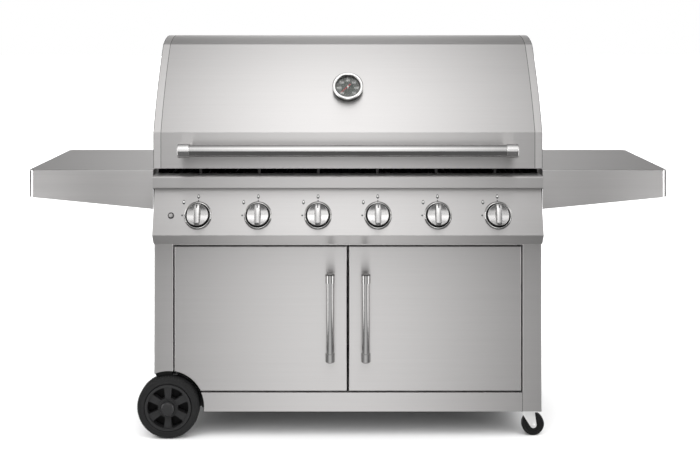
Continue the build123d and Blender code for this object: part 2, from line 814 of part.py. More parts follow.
with BuildPart() as cooking_grates:
    with BuildSketch(Plane.XY.offset(grate_bottom)):
        with Locations((0, firebox_middle)):
            with GridLocations(grate_width + grate_gap, 1, grate_count, 1):
                Rectangle(grate_width, grate_length)
        with Locations((0, firebox_middle)):
            with GridLocations(grate_width + grate_gap, slot_length + grate_border, grate_count, 2):
                with GridLocations(slot_pitch, 1, grate_slots, 1):
                    Rectangle(slot_pitch - grate_bar, slot_length, mode=Mode.SUBTRACT)
    extrude(amount=grate_thickness)
cooking_grates.part.label = "cooking_grates"
export_step(cooking_grates.part, "parts/cooking_grates.step")

rack_back = firebox_back - sheet - rack_from_rear
rack_half = grate_space / 2 - grate_gap - grate_border / 2 + rack_leg_radius
rack_middle = rack_back - rack_depth / 2
rack_slot_pitch = (2 * rack_half - rack_bar) / rack_slots
rack_leg_x = rack_half - rack_leg_radius
rack_leg_y = rack_depth / 2 - rack_leg_radius

with BuildPart() as warming_rack:
    with BuildSketch(Plane.XY.offset(rack_top - rack_bar)):
        with Locations((0, rack_middle)):
            Rectangle(2 * rack_half, rack_depth)
            with GridLocations(rack_slot_pitch, 1, rack_slots, 1):
                Rectangle(rack_slot_pitch - rack_bar, rack_depth - 2 * rack_bar, mode=Mode.SUBTRACT)
    extrude(amount=rack_bar)
    with BuildSketch(Plane.XY.offset(grate_top)):
        with Locations((0, rack_middle)):
            with GridLocations(2 * rack_leg_x, 2 * rack_leg_y, 2, 2):
                Circle(rack_leg_radius)
    extrude(amount=rack_rise - rack_bar / 2)
warming_rack.part.label = "warming_rack"
export_step(warming_rack.part, "parts/warming_rack.step")

with BuildPart() as ignition_electrodes:
    with BuildSketch(plane_at(firebox_front)):
        with Locations(*[(x + electrode_offset, burner_z) for x in knob_xs]):
            Circle(electrode_flange)
    extrude(amount=plate)
    with BuildSketch(plane_at(firebox_front)):
        with Locations(*[(x + electrode_offset, burner_z) for x in knob_xs]):
            Circle(electrode_radius)
    extrude(amount=-electrode_length)
ignition_electrodes.part.label = "ignition_electrodes"
export_step(ignition_electrodes.part, "parts/ignition_electrodes.step")

# Grease tray: hangs by its rim on the runners and draws out at the back

tray_back = back - tray_rear_inset
tray_middle = tray_back - tray_length / 2

with BuildPart() as grease_tray:
    with BuildSketch(Plane.XY.offset(tray_rim_top - tray_depth)):
        with Locations((0, tray_middle)):
            Rectangle(tray_width, tray_length)
    extrude(amount=tray_depth)
    with BuildSketch(Plane.XY.offset(tray_rim_top - sheet)):
        with Locations((0, tray_middle)):
            Rectangle(tray_width + 2 * tray_rim, tray_length)
    extrude(amount=sheet)
    with BuildSketch(Plane.XY.offset(tray_rim_top - tray_depth + sheet)):
        with Locations((0, tray_middle)):
            Rectangle(tray_width - 2 * sheet, tray_length - 2 * sheet)
    extrude(amount=tray_depth, mode=Mode.SUBTRACT)
    with BuildSketch(Plane.XY.offset(tray_rim_top - sheet)):
        with Locations((0, tray_back + tray_grip_depth / 2)):
            Rectangle(tray_grip_width, tray_grip_depth)
    extrude(amount=sheet)
grease_tray.part.label = "grease_tray"
export_step(grease_tray.part, "parts/grease_tray.step")

# Front rail: a folded shelf edge under the hood, with upright spacers along the gap

rail_front = front - rail_proud

with BuildPart() as front_rail:
    with BuildSketch(Plane.YZ.offset(-rail_width / 2)):
        with Locations(((rail_front + firebox_front) / 2, rail_top - rail_height / 2)):
            Rectangle(firebox_front - rail_front, rail_height)
    extrude(amount=rail_width)
    fillet(front_rail.edges().filter_by(Axis.X).group_by(Axis.Y)[0], rail_radius)
    with BuildSketch(Plane.YZ.offset(-rail_width / 2 + sheet)):
        with Locations(((rail_front + firebox_front) / 2 + sheet, rail_top - rail_height / 2)):
            Rectangle(firebox_front - rail_front, rail_height - 2 * sheet)
        with Locations(((rail_front + rail_lip + firebox_front) / 2 + sheet, rail_bottom)):
            Rectangle(firebox_front - rail_front - rail_lip, 4 * sheet)
    extrude(amount=rail_width - 2 * sheet, mode=Mode.SUBTRACT)
    with BuildSketch(Plane.XY.offset(rail_top)):
        with Locations(*[(x, firebox_front - spacer_setback) for x in knob_xs]):
            Rectangle(spacer_width, sheet)
    extrude(amount=spacer_height)
front_rail.part.label = "front_rail"
export_step(front_rail.part, "parts/front_rail.step")

# Control panel: a leaning face, a strip that turns back under it, and closed ends

strip_y = panel_top_y - panel_lean
foot_y = strip_y + panel_strip_back
panel_end_y = foot_y + panel_return

with BuildPart() as control_panel:
    with BuildSketch(Plane.YZ.offset(-panel_width / 2)):
        with BuildLine():
            Polyline(
                (panel_top_y, rail_bottom),
                (panel_top_y, panel_top_z),
                (strip_y, strip_z),
                (foot_y, foot_z),
                (panel_end_y, foot_z),
                (panel_end_y, cart_top + sheet),
                (firebox_front, cart_top + sheet),
                (firebox_front, rail_bottom),
                close=True,
            )
        make_face()
    extrude(amount=panel_width)
    fillet(
        control_panel.edges()
        .filter_by(Axis.X)
        .filter_by_position(Axis.Y, strip_y - 1, foot_y + 1)
        .filter_by_position(Axis.Z, foot_z - 1, strip_z + 1),
        panel_round,
    )
    with BuildSketch(Plane.YZ.offset(-panel_width / 2 + sheet)):
        with BuildLine():
            Polyline(
                (panel_top_y + panel_flange, rail_bottom + sheet),
                (panel_top_y + panel_flange, panel_top_z),
                (panel_top_y + sheet / lean_cos, panel_top_z),
                (strip_y + sheet / lean_cos, strip_z),
                (foot_y + sheet, foot_z + sheet),
                (panel_end_y + sheet, foot_z + sheet),
                (firebox_front + sheet, foot_z + sheet),
                (firebox_front + sheet, rail_bottom + sheet),
                close=True,
            )
        make_face()
    extrude(amount=panel_width - 2 * sheet, mode=Mode.SUBTRACT)
    with BuildSketch(panel_plane.offset(-2 * sheet)):
        with Locations(*[(x, 0) for x in knob_xs]):
            Circle(stem_radius + 2 * sheet)
        with Locations((igniter_x, 0)):
            Circle(igniter_button_radius + sheet + seam)
    extrude(amount=4 * sheet, mode=Mode.SUBTRACT)
control_panel.part.label = "control_panel"
export_step(control_panel.part, "parts/control_panel.step")

# Burner controls: bezels, knobs on turning stems, valves on the manifold, and the igniter

with BuildPart() as knob_bezels:
    with BuildSketch(panel_plane):
        with Locations(*[(x, 0) for x in knob_xs]):
            Circle(bezel_radius)
    extrude(amount=bezel_height)
    chamfer(knob_bezels.edges().group_by(panel_axis)[-1], bezel_chamfer)
    with BuildSketch(panel_plane.offset(bezel_floor)):
        with Locations(*[(x, 0) for x in knob_xs]):
            Circle(bezel_radius - bezel_rim)
    extrude(amount=bezel_height, mode=Mode.SUBTRACT)
    with BuildSketch(panel_plane):
        with Locations(*[(x, 0) for x in knob_xs]):
            Circle(stem_radius + 2 * sheet)
    extrude(amount=bezel_floor, mode=Mode.SUBTRACT)
knob_bezels.part.label = "knob_bezels"
export_step(knob_bezels.part, "parts/knob_bezels.step")


def stem_section(x, height, gap):
    """The stem's round section with its flat, widened by a gap, at a height over the panel."""
    radius = stem_radius + gap
    with BuildSketch(panel_plane.offset(height)) as section:
        with Locations((x, 0)):
            Circle(radius)
        with Locations((x, stem_flat + gap + radius)):
            Rectangle(4 * radius, 2 * radius, mode=Mode.SUBTRACT)
    return section.sketch


def make_knob(x):
    """One knob: a round body with a grip bar across it and a blind bore for the stem."""
    with BuildPart() as knob:
        with BuildSketch(panel_plane.offset(knob_rest)):
            with Locations((x, 0)):
                Circle(knob_radius)
        extrude(amount=knob_body, taper=knob_taper)
        fillet(knob.edges().group_by(panel_axis)[-1], edge_radius)
        with BuildSketch(panel_plane.offset(knob_rest + knob_body - edge_radius)):
            with Locations((x, 0)):
                RectangleRounded(knob_bar_width, knob_bar_length, knob_bar_corner)
        extrude(amount=knob_bar_height + edge_radius, taper=knob_bar_taper)
        fillet(knob.edges().group_by(panel_axis)[-1], edge_radius)
        extrude(
            stem_section(x, knob_rest, pin_fit), amount=stem_grip + knob_travel + knob_gap, mode=Mode.SUBTRACT
        )
    return knob.part


def make_stem(x):
    """One valve stem: round inside the valve, flatted where it carries the knob."""
    with BuildPart() as stem:
        with BuildSketch(panel_plane.offset(-stem_depth)):
            with Locations((x, 0)):
                Circle(stem_radius)
        extrude(amount=stem_depth + bezel_floor)
        extrude(stem_section(x, bezel_floor, 0), amount=knob_rest - bezel_floor + stem_grip)
    return stem.part


for number, x in enumerate(knob_xs, 1):
    burner_knob = make_knob(x)
    burner_knob.label = f"burner_knob_{number}"
    export_step(burner_knob, f"parts/burner_knob_{number}.step")
    valve_stem = make_stem(x)
    valve_stem.label = f"valve_stem_{number}"
    export_step(valve_stem, f"parts/valve_stem_{number}.step")

with BuildPart() as gas_valves:
    with BuildSketch(panel_plane.offset(-sheet)):
        with Locations(*[(x, 0) for x in knob_xs]):
            Circle(valve_flange_radius)
    extrude(amount=-valve_flange)
    with BuildSketch(panel_plane.offset(-sheet)):
        with Locations(*[(x, 0) for x in knob_xs]):
            Circle(valve_radius)
    extrude(amount=-valve_length)
    with BuildSketch(Plane.XY.offset(manifold_top)):
        with Locations(*[(x, valve_middle_y) for x in knob_xs]):
            Circle(valve_foot_radius)
    extrude(amount=manifold_drop)
    with BuildSketch(plane_at(burner_y)):
        with Locations(*[(x, burner_z) for x in knob_xs]):
            Circle(nozzle_radius)
    extrude(amount=-(burner_front + nozzle_reach - burner_y))
    with BuildSketch(panel_plane.offset(-sheet)):
        with Locations(*[(x, 0) for x in knob_xs]):
            Circle(stem_radius + pin_fit)
    extrude(amount=-(stem_depth - sheet + seam), mode=Mode.SUBTRACT)
gas_valves.part.label = "gas_valves"
export_step(gas_valves.part, "parts/gas_valves.step")

with BuildPart() as gas_manifold:
    with BuildSketch(Plane.YZ.offset(-manifold_length / 2)):
        with Locations((valve_middle_y, manifold_top - manifold_size / 2)):
            Rectangle(manifold_size, manifold_size)
    extrude(amount=manifold_length)
    with BuildSketch(Plane.YZ.offset(-manifold_length / 2 + manifold_wall)):
        with Locations((valve_middle_y, manifold_top - manifold_size / 2)):
            Rectangle(manifold_size - 2 * manifold_wall, manifold_size - 2 * manifold_wall)
    extrude(amount=manifold_length - 2 * manifold_wall, mode=Mode.SUBTRACT)
    with BuildSketch(Plane.YZ.offset(manifold_length / 2)):
        with Locations((valve_middle_y, manifold_top - manifold_size / 2)):
            RegularPolygon(inlet_nut_radius, 6)
    extrude(amount=inlet_nut_length)
    with BuildSketch(Plane.YZ.offset(manifold_length / 2 + inlet_nut_length)):
        with Locations((valve_middle_y, manifold_top - manifold_size / 2)):
            Circle(inlet_thread_radius)
    extrude(amount=inlet_thread_length)
gas_manifold.part.label = "gas_manifold"
export_step(gas_manifold.part, "parts/gas_manifold.step")

igniter_bore = igniter_button_radius + 2 * pin_fit
igniter_bore_depth = igniter_body_length / 2 - igniter_collar_height
igniter_button_length = igniter_button_proud + igniter_bore_depth - 2 * igniter_travel

with BuildPart() as igniter_module:
    with BuildSketch(panel_plane.offset(-sheet)):
        with Locations((igniter_x, 0)):
            Circle(igniter_body_radius)
    extrude(amount=-igniter_body_length)
    with BuildSketch(panel_plane.offset(-sheet)):
        with Locations((igniter_x, 0)):
            Circle(igniter_button_radius + sheet)
    extrude(amount=sheet)
    with BuildSketch(panel_plane):
        with Locations((igniter_x, 0)):
            Circle(igniter_collar_radius)
    extrude(amount=igniter_collar_height)
    with BuildSketch(panel_plane.offset(igniter_collar_height)):
        with Locations((igniter_x, 0)):
            Circle(igniter_bore)
    extrude(amount=-(igniter_collar_height + igniter_bore_depth), mode=Mode.SUBTRACT)
igniter_module.part.label = "igniter_module"
export_step(igniter_module.part, "parts/igniter_module.step")

with BuildPart() as igniter_button:
    with BuildSketch(panel_plane.offset(igniter_button_proud)):
        with Locations((igniter_x, 0)):
            Circle(igniter_button_radius)
    extrude(amount=-igniter_button_length)
    fillet(igniter_button.edges().group_by(panel_axis)[-1], edge_radius)
igniter_button.part.label = "igniter_button"
export_step(igniter_button.part, "parts/igniter_button.step")

# Hood: one bent skin between two end cheeks, on pins at the back of the firebox

half_hood = hood_width / 2
skin_half = half_hood - cheek_strip - seam
hood_rear_edge = hood_bottom + hood_rear_lift


def open_below(x, width):
    """Cuts the hood piece being built off at its front and rear lower edges."""
    with BuildSketch(Plane.YZ.offset(x)) as below:
        with Locations(((hood_front + hood_back) / 2, hood_bottom - cheek_corner)):
            Rectangle(2 * hood_depth, 2 * cheek_corner)
        with Locations((hood_back, hood_rear_edge - hood_depth / 4)):
            Rectangle(hood_depth, hood_depth / 2)
    extrude(below.sketch, amount=width, mode=Mode.SUBTRACT)


with BuildPart() as hood_skin:
    extrude(hood_outline(0, -skin_half), amount=2 * skin_half)
    extrude(hood_outline(sheet, -skin_half), amount=2 * skin_half, mode=Mode.SUBTRACT)
    open_below(-skin_half, 2 * skin_half)
    with BuildSketch(Plane.YZ.offset(-skin_half + cheek_lip + seam)):
        with Locations((hood_front + hood_hem / 2, hood_bottom + sheet / 2)):
            Rectangle(hood_hem, sheet)
    extrude(amount=2 * (skin_half - cheek_lip - seam))
    with BuildSketch(gauge_plane.offset(2 * sheet)):
        Circle(probe_radius + seam)
    extrude(amount=-6 * sheet, mode=Mode.SUBTRACT)
hood_skin.part.label = "hood_skin"
export_step(hood_skin.part, "parts/hood_skin.step")

with BuildPart() as hood_cheeks:
    extrude(hood_outline(0, half_hood - cheek_strip), amount=cheek_strip - sheet)
    extrude(hood_outline(cheek_rim, half_hood - cheek_strip), amount=cheek_strip - sheet, mode=Mode.SUBTRACT)
    extrude(hood_outline(sheet + seam, half_hood - cheek_strip - cheek_lip), amount=cheek_lip)
    extrude(
        hood_outline(cheek_rim, half_hood - cheek_strip - cheek_lip), amount=cheek_lip, mode=Mode.SUBTRACT
    )
    open_below(half_hood - cheek_strip - cheek_lip, cheek_strip + cheek_lip)
    extrude(hood_outline(0, half_hood - sheet), amount=sheet)
    with BuildSketch(Plane.YZ.offset(half_hood - sheet)):
        with Locations(((hood_front + hood_back) / 2, hood_bottom - cheek_corner)):
            Rectangle(2 * hood_depth, 2 * cheek_corner)
        with Locations((pivot_y, pivot_z)):
            Circle(pivot_radius + pin_fit)
    extrude(amount=sheet, mode=Mode.SUBTRACT)
    fillet(
        hood_cheeks.edges()
        .filter_by(Axis.X)
        .filter_by_position(Axis.Y, hood_back - 1, hood_back + 1)
        .filter_by_position(Axis.Z, hood_bottom - 1, hood_bottom + 1),
        cheek_corner,
    )
    mirror(about=Plane.YZ)
hood_cheeks.part.label = "hood_cheeks"
export_step(hood_cheeks.part, "parts/hood_cheeks.step")

with BuildPart() as hood_hinge_brackets:
    with BuildSketch(Plane.YZ.offset(half_box)):
        with Locations((pivot_y, pivot_z - bracket_drop / 2)):
            Rectangle(bracket_width, bracket_drop)
        with Locations((pivot_y, pivot_z)):
            Circle(bracket_width / 2)
    extrude(amount=plate)
    with BuildSketch(Plane.YZ.offset(half_box)):
        with Locations((pivot_y, pivot_z)):
            Circle(pivot_radius)
    extrude(amount=half_hood - half_box + seam)
    with BuildSketch(Plane.YZ.offset(half_hood + seam)):
        with Locations((pivot_y, pivot_z)):
            Circle(pivot_head_radius)
    extrude(amount=pivot_head)
    mirror(about=Plane.YZ)
hood_hinge_brackets.part.label = "hood_hinge_brackets"
export_step(hood_hinge_brackets.part, "parts/hood_hinge_brackets.step")

bar_y = hood_front - bar_standoff
bar_z = hood_bottom + bar_rise
mount_inner = mount_x - mount_width / 2

with BuildPart() as hood_handle_tube:
    with BuildSketch(Plane.YZ.offset(-mount_inner)):
        with Locations((bar_y, bar_z)):
            Circle(bar_radius)
            Circle(bar_radius - bar_wall, mode=Mode.SUBTRACT)
    extrude(amount=2 * mount_inner)
hood_handle_tube.part.label = "hood_handle_tube"
export_step(hood_handle_tube.part, "parts/hood_handle_tube.step")

with BuildPart() as hood_handle_mounts:
    with BuildSketch(Plane.YZ.offset(mount_inner)):
        with Locations((bar_y, bar_z)):
            Circle(mount_radius)
        with Locations((hood_front - bar_standoff / 2, bar_z)):
            Rectangle(bar_standoff, mount_arm_height)
    extrude(amount=mount_width)
    fillet(
        hood_handle_mounts.edges().filter_by(GeomType.CIRCLE).group_by(Axis.X)[0]
        + hood_handle_mounts.edges().filter_by(GeomType.CIRCLE).group_by(Axis.X)[-1],
        edge_radius,
    )
    mirror(about=Plane.YZ)
hood_handle_mounts.part.label = "hood_handle_mounts"
export_step(hood_handle_mounts.part, "parts/hood_handle_mounts.step")

# Thermometer: a case on the slope, with a glass, a needle on a spindle and a probe inside

glass_radius = gauge_radius - gauge_ring + gauge_glass_lap
glass_seat = gauge_height - 2 * gauge_glass
dial_level = glass_seat - gauge_dial_depth

with BuildPart() as thermometer_case:
    with BuildSketch(gauge_plane.offset(seam)):
        Circle(gauge_body_radius)
    extrude(amount=gauge_height - gauge_bezel - seam)
    with BuildSketch(gauge_plane.offset(gauge_height - gauge_bezel)):
        Circle(gauge_radius)
    extrude(amount=gauge_bezel)
    fillet(thermometer_case.edges().group_by(gauge_axis)[-1], gauge_round)
    with BuildSketch(gauge_plane.offset(dial_level)):
        Circle(gauge_radius - gauge_ring)
    extrude(amount=gauge_height, mode=Mode.SUBTRACT)
    with BuildSketch(gauge_plane.offset(glass_seat - seam / 2)):
        Circle(glass_radius + seam / 2)
    extrude(amount=gauge_glass + seam, mode=Mode.SUBTRACT)
    with BuildSketch(gauge_plane.offset(dial_level)):
        Circle(spindle_radius)
    extrude(amount=gauge_dial_depth - 2 * seam)
    with BuildSketch(gauge_plane.offset(2 * seam)):
        Circle(probe_radius)
    extrude(amount=-probe_length)
thermometer_case.part.label = "thermometer_case"
export_step(thermometer_case.part, "parts/thermometer_case.step")

with BuildPart() as thermometer_lens:
    with BuildSketch(gauge_plane.offset(glass_seat)):
        Circle(glass_radius)
    extrude(amount=gauge_glass)
thermometer_lens.part.label = "thermometer_lens"
export_step(thermometer_lens.part, "parts/thermometer_lens.step")

with BuildPart() as thermometer_needle:
    with BuildSketch(gauge_plane.offset(dial_level + gauge_dial_depth / 2)):
        with Locations(Location((0, 0, 0), (0, 0, needle_rest_angle))):
            with Locations(((needle_length - needle_tail) / 2, 0)):
                Rectangle(needle_length + needle_tail, needle_width)
        Circle(needle_hub_radius)
        Circle(spindle_radius + pin_fit, mode=Mode.SUBTRACT)
    extrude(amount=needle_sheet)
thermometer_needle.part.label = "thermometer_needle"
export_step(thermometer_needle.part, "parts/thermometer_needle.step")

# Side shelves: folded trays turned over, deeper beside the grill, on arms from the firebox

shelf_inner = half_hood + shelf_gap
shelf_front = front + shelf_setback
shelf_middle = shelf_front + shelf_depth / 2
shelf_outer = shelf_inner + shelf_length


def shelf_plan(side, inset, height):
    """The shelf's outline from above, with rounded outer corners, open towards the grill."""
    reach = shelf_length - inset
    with BuildSketch(Plane.XY.offset(height)) as plan:
        with Locations((side * (shelf_inner + reach / 2), shelf_middle)):
            Rectangle(reach, shelf_depth - 2 * inset)
        fillet(plan.vertices().group_by(Axis.X)[0 if side < 0 else -1], shelf_corner - inset)
    return plan.sketch


def make_shelf(side):
    """One shelf: a top with a deep folded edge on three sides that rises towards its outer end."""
    with BuildPart() as shelf:
        extrude(shelf_plan(side, 0, shelf_top), amount=-shelf_inner_height)
        with BuildSketch(plane_at(shelf_front - sheet)):
            with BuildLine():
                Polyline(
                    (side * shelf_inner, shelf_top - shelf_inner_height),
                    (side * shelf_outer, shelf_top - shelf_outer_height),
                    (side * (shelf_outer + shelf_corner), shelf_top - shelf_outer_height),
                    (side * (shelf_outer + shelf_corner), shelf_top - 2 * shelf_inner_height),
                    (side * shelf_inner, shelf_top - 2 * shelf_inner_height),
                    close=True,
                )
            make_face()
        extrude(amount=-(shelf_depth + 2 * sheet), mode=Mode.SUBTRACT)
        inner = shelf.faces().sort_by(Axis.X)[-1 if side < 0 else 0]
        top = shelf.faces().sort_by(Axis.Z)[-1]
        fillet([e for e in top.edges() if e not in inner.edges()], shelf_edge)
        extrude(
            shelf_plan(side, sheet, shelf_top - sheet), amount=-shelf_inner_height, mode=Mode.SUBTRACT
        )
    return shelf.part


left_shelf = make_shelf(-1)
left_shelf.label = "left_shelf"
export_step(left_shelf, "parts/left_shelf.step")
right_shelf = make_shelf(1)
right_shelf.label = "right_shelf"
export_step(right_shelf, "parts/right_shelf.step")

arm_ys = (shelf_front + arm_front, shelf_front + shelf_depth - arm_rear)
arm_z = shelf_top - sheet - arm_height / 2
plate_top = cart_top + firebox_side_height

with BuildPart() as shelf_brackets:
    for arm_y in arm_ys:
        with BuildSketch(Plane.YZ.offset(half_box)):
            with Locations((arm_y, plate_top - arm_plate_height / 2)):
                Rectangle(arm_plate_width, arm_plate_height)
        extrude(amount=plate)
        with BuildSketch(Plane.YZ.offset(half_box)):
            with Locations((arm_y, arm_z)):
                Rectangle(arm_width, arm_height)
        extrude(amount=shelf_inner - half_box + arm_length)
        with BuildSketch(Plane.YZ.offset(half_box + plate)):
            with Locations((arm_y, arm_z)):
                Rectangle(arm_width - 2 * arm_wall, arm_height - 2 * arm_wall)
        extrude(amount=shelf_inner - half_box + arm_length, mode=Mode.SUBTRACT)
    mirror(about=Plane.YZ)
shelf_brackets.part.label = "shelf_brackets"
export_step(shelf_brackets.part, "parts/shelf_brackets.step")

# Wheels: spoked rims with tyres at both ends of one axle under the left side

wheel_faces = ((front - wheel_proud, 1), (back + wheel_proud, -1))
hub_length = bay_depth + wheel_proud - seam


def make_rim(face, way):
    """One wheel's rim: a hub, a face with six windows between tapered spokes, and a tyre band."""
    bead = tyre_bead_radius - seam / 3
    band = bead - rim_wall
    with BuildPart() as rim:
        with BuildSketch(plane_at(face)):
            with Locations((wheel_x, axle_z)):
                Circle(bead)
        extrude(amount=-way * wheel_width)
        with BuildSketch(plane_at(face)):
            with Locations((wheel_x, axle_z)):
                Circle(band)
                Circle(hub_radius, mode=Mode.SUBTRACT)
        extrude(amount=-way * rim_recess, mode=Mode.SUBTRACT)
        with BuildSketch(plane_at(face + way * (rim_recess + window_depth + web_thickness))):
            with Locations((wheel_x, axle_z)):
                Circle(band)
                Circle(hub_radius, mode=Mode.SUBTRACT)
        extrude(amount=-way * wheel_width, mode=Mode.SUBTRACT)
        with BuildSketch(plane_at(face + way * rim_recess)) as windows:
            with Locations((wheel_x, axle_z)):
                Circle(band - seam)
                Circle(window_inner, mode=Mode.SUBTRACT)
                with PolarLocations(0, spoke_count, start_angle=90):
                    Polygon(
                        (0, -spoke_hub_width / 2),
                        (hub_radius, -spoke_hub_width / 2),
                        (bead, -spoke_rim_width / 2),
                        (bead, spoke_rim_width / 2),
                        (hub_radius, spoke_hub_width / 2),
                        (0, spoke_hub_width / 2),
                        align=None,
                        mode=Mode.SUBTRACT,
                    )
            fillet(windows.vertices(), window_corner)
        extrude(amount=-way * window_depth, mode=Mode.SUBTRACT)
        with BuildSketch(plane_at(face)):
            with Locations((wheel_x, axle_z)):
                Circle(hub_radius)
        extrude(amount=-way * hub_length)
        with BuildSketch(plane_at(face - way)):
            with Locations((wheel_x, axle_z)):
                Circle(axle_radius + pin_fit)
        extrude(amount=-way * (hub_length + 2), mode=Mode.SUBTRACT)
    return rim.part


def make_tyre(face, way):
    """One tyre: a plain ring with rounded shoulders."""
    with BuildPart() as tyre:
        with BuildSketch(plane_at(face)):
            with Locations((wheel_x, axle_z)):
                Circle(wheel_radius)
        extrude(amount=-way * wheel_width)
        fillet(tyre.edges(), tyre_shoulder)
        with BuildSketch(plane_at(face)):
            with Locations((wheel_x, axle_z)):
                Circle(tyre_bead_radius)
        extrude(amount=-way * wheel_width, mode=Mode.SUBTRACT)
    return tyre.part


for end, (face, way) in zip(("front", "rear"), wheel_faces):
    wheel_rim = make_rim(face, way)
    wheel_rim.label = f"{end}_wheel_rim"
    export_step(wheel_rim, f"parts/{end}_wheel_rim.step")
    tyre = make_tyre(face, way)
    tyre.label = f"{end}_tyre"
    export_step(tyre, f"parts/{end}_tyre.step")

with BuildPart() as wheel_axle:
    with BuildSketch(plane_at(front - wheel_proud - axle_end)):
        with Locations((wheel_x, axle_z)):
            Circle(axle_radius)
    extrude(amount=-(cart_depth + 2 * wheel_proud + 2 * axle_end))
wheel_axle.part.label = "wheel_axle"
export_step(wheel_axle.part, "parts/wheel_axle.step")

with BuildPart() as wheel_caps:
    for face, way in wheel_faces:
        with BuildSketch(plane_at(face - way * seam)):
            with Locations((wheel_x, axle_z)):
                Circle(cap_radius)
        extrude(amount=way * (cap_height - seam))
    fillet(wheel_caps.edges().group_by(Axis.Y)[0] + wheel_caps.edges().group_by(Axis.Y)[-1], cap_round)
    for face, way in wheel_faces:
        with BuildSketch(plane_at(face)):
            with Locations((wheel_x, axle_z)):
                Circle(axle_radius + pin_fit)
        extrude(amount=way * (axle_end + pin_fit), mode=Mode.SUBTRACT)
wheel_caps.part.label = "wheel_caps"
export_step(wheel_caps.part, "parts/wheel_caps.step")

# Casters: plates under the right posts, forks that swivel on kingpins, and small wheels

caster_ys = (front + post_size / 2, back - post_size / 2)
race_bottom = ground_clearance - plate - caster_race
crown_top = race_bottom - seam
crown_bottom = crown_top - caster_sheet
caster_radius = (crown_bottom - caster_crown_gap) / 2
fork_half = caster_width / 2 + caster_side_gap
crown_half = caster_race_radius + caster_crown_rim
caster_axle_x = caster_x + caster_trail

with BuildPart() as caster_plates:
    with BuildSketch(Plane.XY.offset(ground_clearance)):
        with Locations(*[(half_cart - post_size / 2, y) for y in caster_ys]):
            RectangleRounded(caster_plate_size, caster_plate_size, edge_radius)
    extrude(amount=-plate)
    with BuildSketch(Plane.XY.offset(ground_clearance - plate)):
        with Locations(*[(caster_x, y) for y in caster_ys]):
            Circle(caster_race_radius)
    extrude(amount=-caster_race)
    with BuildSketch(Plane.XY.offset(race_bottom)):
        with Locations(*[(caster_x, y) for y in caster_ys]):
            Circle(kingpin_radius)
    extrude(amount=-(caster_sheet + 2 * seam))
    with BuildSketch(Plane.XY.offset(crown_bottom - seam)):
        with Locations(*[(caster_x, y) for y in caster_ys]):
            Circle(kingpin_head_radius)
    extrude(amount=-kingpin_head)
caster_plates.part.label = "caster_plates"
export_step(caster_plates.part, "parts/caster_plates.step")


def make_fork(y):
    """One caster's fork: a crown on the kingpin and two cheeks down to the wheel's axle."""
    with BuildPart() as fork:
        with BuildSketch(Plane.XY.offset(crown_top)):
            with Locations((caster_x, y)):
                Rectangle(2 * crown_half, 2 * (fork_half + caster_sheet))
        extrude(amount=-caster_sheet)
        with BuildSketch(plane_at(y - fork_half - caster_sheet)):
            with BuildLine():
                Polyline(
                    (caster_x - crown_half, crown_top),
                    (caster_x + crown_half, crown_top),
                    (caster_axle_x + caster_boss_radius, caster_radius),
                    (caster_axle_x - caster_boss_radius, caster_radius - caster_boss_radius / 3),
                    close=True,
                )
            make_face()
            with Locations((caster_axle_x, caster_radius)):
                Circle(caster_boss_radius)
        extrude(amount=-2 * (fork_half + caster_sheet))
        with BuildSketch(plane_at(y - fork_half)):
            with Locations((caster_x, crown_bottom - caster_radius)):
                Rectangle(6 * caster_radius, 2 * caster_radius)
        extrude(amount=-2 * fork_half, mode=Mode.SUBTRACT)
        with BuildSketch(plane_at(y - fork_half - 2 * caster_sheet)):
            with Locations((caster_axle_x, caster_radius)):
                Circle(caster_axle_radius)
        extrude(amount=-2 * (fork_half + 2 * caster_sheet))
        with BuildSketch(Plane.XY.offset(crown_top)):
            with Locations((caster_x, y)):
                Circle(kingpin_radius + pin_fit)
        extrude(amount=-caster_sheet, mode=Mode.SUBTRACT)
    return fork.part


def make_caster_wheel(y):
    """One caster's wheel: a solid tread with a hub that runs on the fork's axle."""
    with BuildPart() as wheel:
        with BuildSketch(plane_at(y - caster_width / 2)):
            with Locations((caster_axle_x, caster_radius)):
                Circle(caster_radius)
        extrude(amount=-caster_width)
        fillet(wheel.edges(), edge_radius)
        with BuildSketch(plane_at(y - fork_half + seam)):
            with Locations((caster_axle_x, caster_radius)):
                Circle(caster_boss_radius)
        extrude(amount=-2 * (fork_half - seam))
        with BuildSketch(plane_at(y - fork_half)):
            with Locations((caster_axle_x, caster_radius)):
                Circle(caster_axle_radius + pin_fit)
        extrude(amount=-2 * fork_half, mode=Mode.SUBTRACT)
    return wheel.part


for end, y in zip(("front", "rear"), caster_ys):
    caster_fork = make_fork(y)
    caster_fork.label = f"{end}_caster_fork"
    export_step(caster_fork, f"parts/{end}_caster_fork.step")
    caster_wheel = make_caster_wheel(y)
    caster_wheel.label = f"{end}_caster_wheel"
    export_step(caster_wheel, f"parts/{end}_caster_wheel.step")
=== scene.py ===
"""Looks for a six-burner gas grill on a cabinet cart: finishes, controls, gauge, wheels and stage."""

import json
from functools import partial
from math import pi, radians

